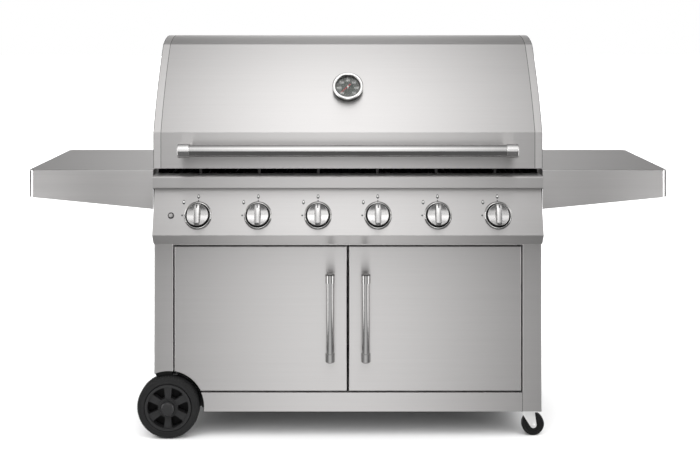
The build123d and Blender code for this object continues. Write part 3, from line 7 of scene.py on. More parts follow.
import bmesh
import bpy
import numpy as np
from bpy.props import FloatProperty, FloatVectorProperty, IntProperty, PointerProperty
from bpy.types import Operator, Panel, PropertyGroup
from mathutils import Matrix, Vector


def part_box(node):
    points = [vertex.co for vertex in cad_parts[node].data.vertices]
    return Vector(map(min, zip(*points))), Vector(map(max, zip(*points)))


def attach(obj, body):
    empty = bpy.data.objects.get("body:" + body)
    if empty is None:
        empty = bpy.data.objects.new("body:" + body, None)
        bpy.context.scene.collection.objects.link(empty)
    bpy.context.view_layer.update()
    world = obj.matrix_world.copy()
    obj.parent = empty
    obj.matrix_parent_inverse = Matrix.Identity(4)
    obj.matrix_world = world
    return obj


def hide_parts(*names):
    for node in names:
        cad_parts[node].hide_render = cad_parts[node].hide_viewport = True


bl_info = {
    "name": "Gas grill looks",
    "version": (1, 0, 0),
    "blender": (4, 5, 0),
    "location": "3D View > Sidebar > Grill",
    "description": "Finishes a cabinet gas grill and sets it on a pale studio floor",
    "category": "Object",
}

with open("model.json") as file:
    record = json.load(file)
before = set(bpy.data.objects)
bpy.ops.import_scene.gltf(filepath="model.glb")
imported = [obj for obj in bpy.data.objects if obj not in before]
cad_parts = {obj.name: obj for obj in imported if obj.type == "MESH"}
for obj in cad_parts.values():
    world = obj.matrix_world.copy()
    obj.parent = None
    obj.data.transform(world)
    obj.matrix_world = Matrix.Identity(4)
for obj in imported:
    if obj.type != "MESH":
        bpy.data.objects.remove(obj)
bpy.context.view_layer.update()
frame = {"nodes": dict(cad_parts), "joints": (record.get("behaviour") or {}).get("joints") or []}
nodes = frame["nodes"]
joints = {joint["name"]: joint for joint in frame["joints"]}

across = np.array((1.0, 0.0, 0.0))
knob_joints = [joints[f"valve_turn_{number}"] for number in range(1, 7)]
panel_normal = np.array(knob_joints[0]["axis"])
panel_up = np.cross(panel_normal, across)
gauge_joint = joints["thermometer_pointer"]
gauge_normal = -np.array(gauge_joint["axis"])
gauge_up = np.cross(gauge_normal, across)
panel_ways = (across, panel_up, panel_normal)
gauge_ways = (across, gauge_up, gauge_normal)

# The photo's frame, lens and shift in pixels
photo_width = 700
photo_focus = 1035
photo_shift = (5.5, -215.3)

# Metres: half a knob's grip, the height of the rail's posts and the camera's place across
grip_half = 0.0298
post_height = 0.0138
camera_x = -0.010

Colour = partial(FloatVectorProperty, subtype="COLOR")
Length = partial(FloatProperty, subtype="DISTANCE", unit="LENGTH")


class GrillFinish(PropertyGroup):
    """Colours and roughness of the metals, plastics and rubber."""

    steel: Colour(name="Sheet steel", description="Tone of the sheets", default=(0.605, 0.593, 0.588))
    steel_roughness: FloatProperty(
        name="Roughness", description="Blur of the sheets", subtype="FACTOR", min=0, max=1, default=0.34
    )
    bright: Colour(name="Bright steel", description="Handles and knobs", default=(0.685, 0.675, 0.670))
    enamel: Colour(name="Enamel", description="Firebox and tray coating", default=(0.012, 0.012, 0.013))
    plastic: Colour(name="Wheel plastic", description="Rims and hub caps", default=(0.021, 0.021, 0.0215))
    rubber: Colour(name="Rubber", description="Tyres and caster treads", default=(0.014, 0.014, 0.0143))
    needle: Colour(name="Needle", description="Paint of the pointer", default=(0.50, 0.035, 0.05))


class GrillControls(PropertyGroup):
    """Sizes of the knobs, their bezels and the marks on the panel."""

    knob_radius: Length(name="Knob radius", description="Outer radius", default=0.0328)
    knob_dish: Length(name="Dish", description="Depth of the scoop", default=0.0112)
    bar_width: Length(name="Grip width", description="Width of the grip", default=0.0195)
    bezel_radius: Length(name="Bezel radius", description="Outer radius", default=0.0405)
    mark_stroke: Length(name="Mark stroke", description="Line width", default=0.0019)


class GrillGauge(PropertyGroup):
    """Sizes and scale of the hood thermometer."""

    ring_radius: Length(name="Ring radius", description="Outer radius", default=0.046)
    dial_radius: Length(name="Dial radius", description="Outer radius", default=0.0362)
    divisions: IntProperty(name="Divisions", description="Numbered steps on the dial", min=2, default=6)
    minor: IntProperty(name="Minor ticks", description="Ticks in one numbered step", min=1, default=5)


class GrillWheels(PropertyGroup):
    """Tread of the tyres."""

    tread_blocks: IntProperty(name="Tread blocks", description="Blocks round a tyre", min=8, default=76)
    tread_depth: Length(name="Tread depth", description="Notch depth", default=0.0016)


class GrillStage(PropertyGroup):
    """Camera, light and floor."""

    distance: Length(name="Distance", description="Camera to the doors", default=3.045)
    height: Length(name="Height", description="Camera above the floor", default=1.236)
    floor_colour: Colour(name="Floor", description="Pale floor", default=(0.90, 0.90, 0.90))
    key: FloatProperty(name="Key light", description="Power of the top softbox", unit="POWER", default=14.0)
    side: FloatProperty(name="Side lights", description="Power of each strip", unit="POWER", default=13.0)
    ambient: FloatProperty(name="Ambient", description="Sky light on the floor and matt pieces", default=3.0)
    room: FloatProperty(name="Room", description="Brightest part of the reflected room", default=2.1)
    room_width: FloatProperty(
        name="Room width", description="Sideways slope over which the reflected room falls off", default=0.118
    )
    bounce: FloatProperty(name="Floor bounce", description="Reflected brightness of the floor", default=0.9)
    side_patch: FloatProperty(
        name="Side patches", description="Reflected brightness of the floor at the sides", default=2.6
    )


# Meshes


def grid_quads(rows, columns, wrap_rows=False, wrap_columns=False):
    """Quads between neighbouring points of a grid; a wrapped way also joins its last line to its first."""
    index = np.arange(rows * columns).reshape(rows, columns)
    if wrap_rows:
        index = np.vstack([index, index[:1]])
    if wrap_columns:
        index = np.hstack([index, index[:, :1]])
    corners = (index[:-1, :-1], index[:-1, 1:], index[1:, 1:], index[1:, :-1])
    return np.stack(corners, axis=-1).reshape(-1, 4)


def rounded(points, radius, steps=6):
    """A line through points; each inner corner is a quadratic curve that starts and ends a radius from it."""
    points = np.asarray(points, float)
    before, corner, after = points[:-2], points[1:-1], points[2:]
    back, on = before - corner, after - corner
    back_length = np.linalg.norm(back, axis=1, keepdims=True)
    on_length = np.linalg.norm(on, axis=1, keepdims=True)
    start = corner + back / back_length * np.minimum(radius, back_length * 0.49)
    end = corner + on / on_length * np.minimum(radius, on_length * 0.49)
    s = np.linspace(0, 1, steps)[None, :, None]
    curve = (1 - s) ** 2 * start[:, None] + 2 * s * (1 - s) * corner[:, None] + s**2 * end[:, None]
    return np.vstack([points[:1], curve.reshape(-1, 2), points[-1:]])


def turned(profile, turns):
    """A profile of (radius, height) points turned about the local Z axis, as points and quads."""
    profile = np.asarray(profile, float)
    angle = np.arange(turns) / turns * 2 * np.pi
    radius, height = profile[:, :1], profile[:, 1:]
    points = np.stack([radius * np.cos(angle), radius * np.sin(angle), height + 0 * angle], axis=-1)
    return points.reshape(-1, 3), grid_quads(len(profile), turns, False, True)


def strip(rows):
    """A section of four corners, each carried along its own row of points, with both ends closed."""
    rows = np.stack(rows, axis=1)
    last = 4 * (len(rows) - 1)
    ends = np.array([[0, 1, 2, 3], [last, last + 3, last + 2, last + 1]])
    return rows.reshape(-1, 3), np.vstack([grid_quads(len(rows), 4, False, True), ends])


def carried(shells, origin, ways):
    """Local shells carried to an origin along three ways."""
    return [(np.asarray(origin) + points @ np.array(ways), faces) for points, faces in shells]


def joined(shells):
    """Several (points, faces) shells as one array of points and one list of faces."""
    offsets = np.cumsum([0] + [len(points) for points, _ in shells[:-1]])
    faces = []
    for (_, corners), offset in zip(shells, offsets):
        faces += (corners + offset).tolist()
    return np.vstack([points for points, _ in shells]), faces


def eased_box(low, high, ease):
    """A box with eased edges: a squarish superellipse in X and Z along Y, drawn in at both ends."""
    low, high = np.asarray(low, float), np.asarray(high, float)
    middle, half = (low + high) / 2, (high - low) / 2
    corners, power = 32, 0.1
    turn = (np.arange(corners) + 0.5) / corners * 2 * np.pi
    inset, drawn = (np.array([[1, ease / reach, 0, 0, ease / reach, 1]]).T for reach in half[[0, 2]])
    along = np.array([low[1], low[1], low[1] + ease, high[1] - ease, high[1], high[1]])[:, None]
    x = middle[0] + half[0] * (1 - inset) * np.sign(np.cos(turn)) * np.abs(np.cos(turn)) ** power
    z = middle[2] + half[2] * (1 - drawn) * np.sign(np.sin(turn)) * np.abs(np.sin(turn)) ** power
    points = np.stack([x, along + 0 * x, z], axis=-1)
    return points.reshape(-1, 3), grid_quads(len(along), corners, False, True)


def disc(name):
    """Centre, radius and half width of a node that turns about Y."""
    low, high = (np.array(corner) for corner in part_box(name))
    return (low + high) / 2, (high[2] - low[2]) / 2, (high[1] - low[1]) / 2


def new_object(name, points, faces):
    """A mesh object at the origin, linked to the scene."""
    mesh = bpy.data.meshes.new(name)
    mesh.from_pydata(points.tolist(), [], faces)
    piece = bpy.data.objects.new(name, mesh)
    bpy.context.scene.collection.objects.link(piece)
    return piece


def make_piece(name, shells, finish, body, replaced=(), sharp=40.0):
    """Turns shells into one closed, smooth-shaded object at the origin that rides on a body."""
    piece = new_object(name, *joined(shells))
    close_mesh(piece.data, sharp)
    piece.data.materials.append(bpy.data.materials[finish])
    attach(piece, body)
    if replaced:
        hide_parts(*replaced)


def close_mesh(mesh, sharp):
    """Merges the points of seams and poles, turns the faces outwards and smooths all but the sharp edges."""
    shell = bmesh.new()
    shell.from_mesh(mesh)
    bmesh.ops.remove_doubles(shell, verts=shell.verts, dist=1e-6)
    bmesh.ops.dissolve_degenerate(shell, edges=shell.edges, dist=1e-7)
    bmesh.ops.recalc_face_normals(shell, faces=shell.faces)
    shell.to_mesh(mesh)
    shell.free()
    mesh.polygons.foreach_set("use_smooth", np.ones(len(mesh.polygons), bool))
    mesh.set_sharp_from_angle(angle=radians(sharp))
    mesh.update()


# Materials


def fill(tree, socket, value):
    """Links a socket to an output, or sets it to a number or a colour."""
    if isinstance(value, bpy.types.NodeSocket):
        tree.links.new(value, socket)
    else:
        socket.default_value = value


def fill_named(tree, made, **inputs):
    """Fills a node's input sockets by name, with spaces written as underscores."""
    for name, value in inputs.items():
        fill(tree, made.inputs[name.replace("_", " ")], value)
    return made


def node(tree, kind, **inputs):
    """Adds a node with some of its input sockets filled."""
    return fill_named(tree, tree.nodes.new(kind), **inputs)


def new_material(name):
    """A material with nodes, its node tree and its shader."""
    material = bpy.data.materials.new(name)
    material.use_nodes = True
    return material, material.node_tree, material.node_tree.nodes["Principled BSDF"]


def math_node(tree, operation, first, second=0.0):
    """Adds a Math node on two links or numbers and returns its output."""
    made = tree.nodes.new("ShaderNodeMath")
    made.operation = operation
    fill(tree, made.inputs[0], first)
    fill(tree, made.inputs[1], second)
    return made.outputs[0]


def scaled(tree, colour, gain):
    """A colour times a value."""
    made = tree.nodes.new("ShaderNodeVectorMath")
    made.operation = "SCALE"
    fill(tree, made.inputs[0], colour)
    fill(tree, made.inputs["Scale"], gain)
    return made.outputs[0]


def finish_group(name, *more):
    """Starts a node group that makes a colour, a roughness and a height; returns it and its input sockets."""
    group = bpy.data.node_groups.new(name, "ShaderNodeTree")
    taken = {"Vector": "Vector", "Tone": "Color"}
    taken |= dict.fromkeys(("Contrast", "Roughness", "Spread", *more), "Float")
    given = {"Color": "Color", "Roughness": "Float", "Height": "Float"}
    for way, sockets in (("INPUT", taken), ("OUTPUT", given)):
        for label, kind in sockets.items():
            group.interface.new_socket(label, in_out=way, socket_type=f"NodeSocket{kind}")
    return group, group.nodes.new("NodeGroupInput").outputs


def finish_outputs(group, inside, shift, height):
    """The tone times one plus shift times contrast, the roughness plus shift times spread, and the height."""
    calc = partial(math_node, group)
    gain = calc("ADD", calc("MULTIPLY", shift, inside["Contrast"]), 1.0)
    rough = calc("ADD", calc("MULTIPLY", shift, inside["Spread"]), inside["Roughness"])
    node(group, "NodeGroupOutput", Color=scaled(group, inside["Tone"], gain), Roughness=rough, Height=height)


def brushed_group():
    """Brushed metal: the sum of fine scratches, streaks and broad bands, with the scratches for height."""
    group, inside = finish_group("Brushed grain")
    calc = partial(math_node, group)
    noise = partial(node, group, "ShaderNodeTexNoise", Vector=inside["Vector"])
    fine = noise(Scale=1.0, Detail=3.0, Roughness=0.6).outputs[0]
    broad = noise(Scale=0.045, Detail=2.0, Roughness=0.5).outputs[0]
    streak = noise(Scale=0.24, Detail=2.0, Roughness=0.55).outputs[0]
    grain = calc("ADD", calc("ADD", fine, streak), broad)
    finish_outputs(group, inside, calc("SUBTRACT", grain, 1.5), fine)


def moulded_group():
    """Moulded or cast surface: soft patches shift tone and roughness, with fine pebbling for height."""
    group, inside = finish_group("Moulded surface", "Pebble Scale")
    noise = partial(node, group, "ShaderNodeTexNoise", Vector=inside["Vector"])
    pebble = noise(Scale=inside["Pebble Scale"], Detail=2.0, Roughness=0.55).outputs[0]
    patch = noise(Scale=22.0, Detail=4.0, Roughness=0.6).outputs[0]
    finish_outputs(group, inside, math_node(group, "SUBTRACT", patch, 0.5), pebble)


def surfaced(name, group, bump, **inputs):
    """A material with colour, roughness and relief from a finish group, its shader and its group node."""
    material, tree, shader = new_material(name)
    surface = tree.nodes.new("ShaderNodeGroup")
    surface.node_tree = bpy.data.node_groups[group]
    fill_named(tree, surface, **inputs)
    colour, roughness, height = surface.outputs
    relief = node(tree, "ShaderNodeBump", Strength=bump, Distance=0.0004, Height=height)
    fill_named(tree, shader, Base_Color=colour, Roughness=roughness, Normal=relief.outputs[0])
    return material, shader, surface


def brushed_steel(
    name, tone, roughness, grain, contrast=0.06, spread=0.05, anisotropy=0.0, bump=0.04, metallic=1.0
):
    """A brushed metal whose grain runs along the axis with the smallest scale in grain."""
    material, shader, surface = surfaced(
        name, "Brushed grain", bump, Tone=(*tone, 1), Contrast=contrast, Roughness=roughness, Spread=spread
    )
    tree = material.node_tree
    place = tree.nodes.new("ShaderNodeTexCoord")
    stretch = node(tree, "ShaderNodeMapping", Vector=place.outputs["Object"], Scale=grain)
    fill_named(tree, surface, Vector=stretch.outputs[0])
    fill_named(tree, shader, Metallic=metallic)
    if anisotropy:
        way = tree.nodes.new("ShaderNodeTangent")
        way.direction_type = "RADIAL"
        way.axis = "X"
        fill_named(tree, shader, Anisotropic=anisotropy, Tangent=way.outputs[0])
    return material


def shade_above(material, height, share):
    """Paints shade on a metal: scales its tone down to a share above a height, by a step on Z."""
    tree = material.node_tree
    tone = tree.nodes["Principled BSDF"].inputs["Base Color"]
    place = tree.nodes.new("ShaderNodeTexCoord")
    split = node(tree, "ShaderNodeSeparateXYZ", Vector=place.outputs["Object"])
    above = math_node(tree, "GREATER_THAN", split.outputs["Z"], height)
    gain = math_node(tree, "SUBTRACT", 1.0, math_node(tree, "MULTIPLY", above, 1.0 - share))
    fill(tree, tone, scaled(tree, tone.links[0].from_socket, gain))


def moulded(name, tone, roughness, bump, pebble=900.0, contrast=0.4, coat=0.0, specular=0.5):
    """A moulded, cast or painted finish."""
    material, shader, surface = surfaced(
        name, "Moulded surface", bump, Tone=(*tone, 1), Contrast=contrast, Roughness=roughness, Spread=0.12
    )
    tree = material.node_tree
    place = tree.nodes.new("ShaderNodeTexCoord")
    fill_named(tree, surface, Vector=place.outputs["Object"], Pebble_Scale=pebble)
    fill_named(tree, shader, Coat_Weight=coat, Specular_IOR_Level=specular)


def dress(finish, *names):
    """Gives CAD nodes a material, by its name."""
    for name in names:
        nodes[name].data.materials.clear()
        nodes[name].data.materials.append(bpy.data.materials[finish])


def toned(colour, share):
    """A colour times a share."""
    return tuple(share * channel for channel in colour)


def finishes():
    """Makes every material, once."""
    if "Brushed sheet" in bpy.data.materials:
        return
    settings = bpy.context.scene.grill_finish
    brushed_group()
    moulded_group()
    steel, bright, rough = settings.steel, settings.bright, settings.steel_roughness
    sheet = {"grain": (14, 1500, 1500), "anisotropy": 0.9}
    brushed_steel("Brushed sheet", steel, rough, **sheet)
    # The shelves and the hood's end trims take the same steel painted lighter, as painted light for the
    # dimmer reflected room at the sides.
    brushed_steel("Brushed shelf painted lighter", toned(steel, 1.16), rough, **sheet)
    brushed_steel("Trim sheet painted lighter", toned(steel, 1.2), rough, **sheet)
    # The rail's posts above its top get painted shade, dark like the shadowed gap under the hood.
    rail = brushed_steel("Rail sheet with painted shade", steel, rough, **sheet)
    shade_above(rail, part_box("front_rail")[1].z - post_height, 0.12)
    brushed_steel("Plain sheet", toned(steel, 0.8), rough + 0.08, (60, 600, 600), anisotropy=0.4)
    tube = {"contrast": 0.05, "spread": 0.06, "bump": 0.02}
    brushed_steel("Handle tube across", toned(bright, 0.82), 0.15, (900, 60, 60), **tube)
    brushed_steel("Handle tube upright", toned(bright, 0.62), 0.12, (60, 60, 900), **tube)
    brushed_steel("Handle mount", toned(bright, 1.3), 0.15, (900, 60, 60), contrast=0.05, bump=0.02)
    brushed_steel("Turned knob", bright, 0.24, (300, 300, 300), contrast=0.05, spread=0.08, bump=0.02)
    brushed_steel("Polished ring", (0.66, 0.655, 0.645), 0.11, (200, 200, 200), contrast=0.03, bump=0.0)
    zinc = {"contrast": 0.05, "spread": 0.08, "bump": 0.01, "metallic": 0.6}
    brushed_steel("Zinc plate", (0.88, 0.88, 0.875), 0.34, (90, 90, 90), **zinc)
    brushed_steel("Burner tube", (0.36, 0.35, 0.33), 0.42, (400, 30, 400), contrast=0.25, spread=0.12)
    brushed_steel("Chrome wire", (0.62, 0.62, 0.62), 0.14, (200, 200, 200), contrast=0.05, bump=0.0)
    brushed_steel("Valve brass", (0.62, 0.43, 0.17), 0.30, (300, 300, 300), contrast=0.15, spread=0.10)
    brushed_steel("Extruded aluminium", (0.52, 0.52, 0.52), 0.40, (20, 500, 500), contrast=0.10, spread=0.08)
    moulded("Firebox enamel", settings.enamel, 0.38, pebble=500.0, bump=0.06, coat=0.3)
    moulded("Cast iron", (0.022, 0.021, 0.020), 0.62, pebble=420.0, bump=0.35)
    moulded("Wheel plastic", settings.plastic, 0.46, pebble=1400.0, bump=0.10, specular=0.22)
    moulded("Cap plastic", toned(settings.plastic, 0.9), 0.22, pebble=1400.0, bump=0.03)
    moulded("Tyre rubber", settings.rubber, 0.55, pebble=800.0, bump=0.18, specular=0.18)
    moulded("Caster rubber", toned(settings.rubber, 0.6), 0.42, bump=0.10, specular=0.2)
    # Near-black used as painted shade: knob collars, bezel recesses, rim openings and wheel arch gaps.
    moulded("Painted shade black", (0.004, 0.004, 0.004), 0.45, pebble=1400.0, bump=0.04, specular=0.15)
    # Dark paint for painted shade in seams and painted dark reflections on the hood trims' edges.
    moulded("Seam shadow", (0.035, 0.034, 0.033), 0.6, bump=0.0)
    moulded("Gauge case", (0.020, 0.019, 0.018), 0.32, bump=0.03)
    moulded("Dial paint", (0.080, 0.092, 0.082), 0.55, bump=0.02, contrast=0.2)
    moulded("Dial band", (0.140, 0.142, 0.136), 0.55, bump=0.02, contrast=0.2)
    moulded("Dial ink", (0.88, 0.88, 0.86), 0.55, bump=0.0, contrast=0.1)
    moulded("Needle paint", settings.needle, 0.45, bump=0.0, contrast=0.1)
    moulded("Panel ink", (0.045, 0.045, 0.046), 0.5, bump=0.0, contrast=0.2)
    _, tree, glass = new_material("Gauge glass")
    fill_named(tree, glass, Base_Color=(0.95, 0.97, 0.96, 1), Roughness=0.03, IOR=1.3, Alpha=0.25)
    fill_named(tree, glass, Transmission_Weight=1.0)


# Operators


class GRILL_OT_stage(Operator):
    """Lays the pale floor and sets the soft lights and the camera"""

    bl_idname = "grill.stage"
    bl_label = "Stage"

    def execute(self, context):
        settings = context.scene.grill_stage
        scene = context.scene
        scene.view_settings.view_transform = "Standard"
        self.floor(settings)
        self.flags()
        self.room(scene, settings)
        key = self.softbox("key_softbox", settings.key, (2.9, 1.25), (0.0, -1.72, 3.55), (33, 0, 0))
        key.visible_glossy = False
        for name, side in (("left_strip", -1), ("right_strip", 1)):
            self.softbox(name, settings.side, (0.8, 2.6), (side * 3.3, -2.0, 1.5), (90, 0, side * 62))
        self.camera(scene, settings)
        return {"FINISHED"}

    def sheet(self, name, x, y, z):
        """A flat grid: one parameter runs across x, the other along y and z together."""
        wide, along = (way.ravel() for way in np.meshgrid(np.linspace(*x, 9), np.linspace(0, 1, 9)))
        points = np.stack([wide, y[0] + (y[1] - y[0]) * along, z[0] + (z[1] - z[0]) * along], axis=-1)
        piece = new_object(name, points, grid_quads(9, 9).tolist())
        material, tree, shader = new_material(name)
        piece.data.materials.append(material)
        return piece, tree, shader

    def floor(self, settings):
        """Matt pale paper; in the steel it is brightest in the middle, with a bright patch at each side."""
        _, tree, paper = self.sheet("floor", (-30, 30), (-30, 30), (0, 0))
        calc = partial(math_node, tree)
        fill_named(tree, paper, Base_Color=(*settings.floor_colour, 1), Roughness=0.9, Specular_IOR_Level=0.0)
        place = tree.nodes.new("ShaderNodeTexCoord")
        split = node(tree, "ShaderNodeSeparateXYZ", Vector=place.outputs["Object"])
        x, y = split.outputs["X"], split.outputs["Y"]
        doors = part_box("left_door")[0].y
        nearest, rise, most = 1.5, 0.125, 0.62
        ahead = calc("MAXIMUM", calc("SUBTRACT", doors + settings.distance, y), nearest)
        away = calc("MULTIPLY", calc("SUBTRACT", ahead, settings.distance), rise)
        level = calc("MINIMUM", calc("ADD", away, settings.bounce), settings.bounce + most)
        middle = calc("MULTIPLY", self.side_fall(tree, calc("DIVIDE", x, ahead), settings), level)
        aside = calc("ABSOLUTE", x)
        turn = calc("DIVIDE", calc("ARCTAN2", aside, calc("SUBTRACT", doors, y)), pi)
        fan = self.levels(tree, turn, [(d / 180, level) for d, level in ((47, 0), (53, 1), (72, 1), (79, 0))])
        clear = self.levels(tree, calc("MULTIPLY", aside, 0.5), ((0.50, 0), (0.56, 1)))
        patches = calc("MULTIPLY", fan, calc("MULTIPLY", clear, settings.side_patch))
        glow = node(tree, "ShaderNodeEmission", Strength=calc("ADD", middle, patches))
        path = tree.nodes.new("ShaderNodeLightPath")
        choice = node(tree, "ShaderNodeMixShader", Fac=path.outputs["Is Glossy Ray"])
        fill(tree, choice.inputs[1], paper.outputs[0])
        fill(tree, choice.inputs[2], glow.outputs[0])
        fill_named(tree, tree.nodes["Material Output"], Surface=choice.outputs[0])

    def flags(self):
        """Two dark cards that only reflections see; they darken the lower half of the round steel."""
        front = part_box("left_door")[0].y
        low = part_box("door_header")[1].z
        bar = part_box("hood_handle_tube")
        before = bar[0].y - 0.041
        cards = (
            self.sheet("low_flag", (-0.64, 0.64), (front - 0.36, front - 0.052), (low, low)),
            self.sheet("bar_flag", (-0.50, 0.50), (before, before), (bar[0].z - 0.028, bar[1].z - 0.0185)),
        )
        for card, tree, _ in cards:
            glow = node(tree, "ShaderNodeEmission", Strength=0.14)
            fill_named(tree, tree.nodes["Material Output"], Surface=glow.outputs[0])
            card.visible_camera = card.visible_diffuse = False
            card.visible_shadow = card.visible_transmission = False

    def side_fall(self, tree, slope, settings):
        """One in the middle, falling by a bell curve to about a seventh far to the side."""
        calc = partial(math_node, tree)
        ratio = calc("DIVIDE", calc("ADD", slope, -camera_x), settings.room_width)
        bell = calc("EXPONENT", calc("MULTIPLY", calc("MULTIPLY", ratio, ratio), -0.5))
        return calc("ADD", calc("MULTIPLY", bell, 0.85), 0.15)

    def levels(self, tree, value, stops):
        """Grey levels along a value, straight between stops."""
        made = tree.nodes.new("ShaderNodeValToRGB")
        ramp = made.color_ramp
        while len(ramp.elements) < len(stops):
            ramp.elements.new(0.5)
        for element, (position, level) in zip(ramp.elements, stops):
            element.position = position
            element.color = (level, level, level, 1)
        fill_named(tree, made, Fac=value)
        return made.outputs["Color"]

    def room(self, scene, settings):
        """White to the camera and to matt surfaces; the steel sees soft light above and uneven walls.

        The first levels go by degrees from the horizon in front, over the top, to the one behind.
        The second go by the sideways part of the way.
        """
        heights = (
            (0, 0.67), (25, 0.77), (40, 1.06), (50, 1.07), (60, 0.96), (70, 0.80), (80, 0.58), (95, 0.40),
            (104, 0.32), (114, 0.13), (128, 0.07), (146, 0.18), (155, 0.46), (165, 0.80), (172, 1), (180, 1),
        )
        sides = (
            (0, 0.87), (0.05, 0.81), (0.1, 0.65), (0.15, 0.46), (0.2, 0.305), (0.25, 0.21), (0.3, 0.16),
            (0.4, 0.135), (0.72, 0.13), (0.80, 1.0), (0.92, 1.0), (0.98, 0.2),
        )
        middle = sides[0][1]
        world = bpy.data.worlds.new("Studio room")
        scene.world = world
        world.use_nodes = True
        tree = world.node_tree
        calc = partial(math_node, tree)
        way = tree.nodes.new("ShaderNodeTexCoord")
        split = node(tree, "ShaderNodeSeparateXYZ", Vector=way.outputs["Generated"])
        x, y, z = split.outputs
        path = tree.nodes.new("ShaderNodeLightPath")
        rise = calc("DIVIDE", calc("ARCTAN2", z, calc("MULTIPLY", y, -1.0)), pi)
        up = self.levels(tree, rise, [(degrees / 180, level) for degrees, level in heights])
        sideways = calc("ABSOLUTE", calc("ADD", x, -camera_x))
        sheen = calc("MULTIPLY", up, self.levels(tree, sideways, sides))
        glossy = path.outputs["Is Glossy Ray"]
        seen = calc("MULTIPLY", glossy, calc("MULTIPLY", sheen, settings.room / middle))
        above = calc("MULTIPLY", calc("MAXIMUM", z, 0.05), settings.ambient)
        white = calc("MAXIMUM", above, path.outputs["Is Camera Ray"])
        plain = calc("MULTIPLY", calc("SUBTRACT", 1.0, glossy), white)
        fill_named(tree, tree.nodes["Background"], Color=(1, 1, 1, 1), Strength=calc("ADD", seen, plain))

    def softbox(self, name, power, size, place, degrees):
        """One rectangular soft light."""
        light = bpy.data.lights.new(name, "AREA")
        light.shape = "RECTANGLE"
        light.size, light.size_y = size
        light.energy = power
        lamp = bpy.data.objects.new(name, light)
        lamp.location = place
        lamp.rotation_euler = [radians(turn) for turn in degrees]
        bpy.context.scene.collection.objects.link(lamp)
        return lamp

    def camera(self, scene, settings):
        """A level camera that looks along +Y, shifted down so that upright lines stay parallel."""
        data = bpy.data.cameras.new("photo_camera")
        data.sensor_width = 36.0
        data.lens = photo_focus / photo_width * data.sensor_width
        data.shift_x, data.shift_y = (shift / photo_width for shift in photo_shift)
        camera = bpy.data.objects.new("photo_camera", data)
        camera.location = (camera_x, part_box("left_door")[0].y - settings.distance, settings.height)
        camera.rotation_euler = (radians(90), 0, 0)
        scene.collection.objects.link(camera)
        scene.camera = camera


class GRILL_OT_sheets(Operator):
    """Gives the folded sheets of the hood, shelves, panel and cart their brushed finish"""

    bl_idname = "grill.sheets"
    bl_label = "Sheet steel"

    def execute(self, context):
        finishes()
        dress(
            "Brushed sheet",
            "hood_skin", "control_panel", "left_door", "right_door", "kick_rail", "corner_posts",
            "door_header",
        )
        dress("Rail sheet with painted shade", "front_rail")
        dress("Brushed shelf painted lighter", "left_shelf", "right_shelf")
        dress("Trim sheet painted lighter", "hood_cheeks")
        dress("Plain sheet", "back_panel", "side_panels", "shelf_brackets", "hood_hinge_brackets")
        # The cart's base takes the dark enamel as its coat, and dark also as painted shade where its wheel
        # bays show beside the tyres.
        dress("Firebox enamel", "cart_base")
        dress("Wheel plastic", "door_hinge_pins")
        return {"FINISHED"}


class GRILL_OT_cookbox(Operator):
    """Finishes the firebox, burners, grates, rack, tray and gas fittings"""

    bl_idname = "grill.cookbox"
    bl_label = "Cookbox"

    def execute(self, context):
        finishes()
        dress("Firebox enamel", "firebox", "heat_tents", "grease_tray")
        dress("Cast iron", "cooking_grates")
        dress("Burner tube", "tube_burners", "ignition_electrodes")
        dress("Chrome wire", "warming_rack")
        dress("Valve brass", "gas_valves", *[f"valve_stem_{number}" for number in range(1, 7)])
        dress("Extruded aluminium", "gas_manifold")
        dress("Wheel plastic", "igniter_module", "door_magnets")
        dress("Plain sheet", "igniter_button")
        return {"FINISHED"}


class GRILL_OT_handles(Operator):
    """Finishes the hood's handle and the two door handles"""

    bl_idname = "grill.handles"
    bl_label = "Handles"

    def execute(self, context):
        finishes()
        dress("Handle tube across", "hood_handle_tube")
        dress("Handle mount", "hood_handle_mounts")
        dress("Handle tube upright", "left_door_handle", "right_door_handle")
        return {"FINISHED"}


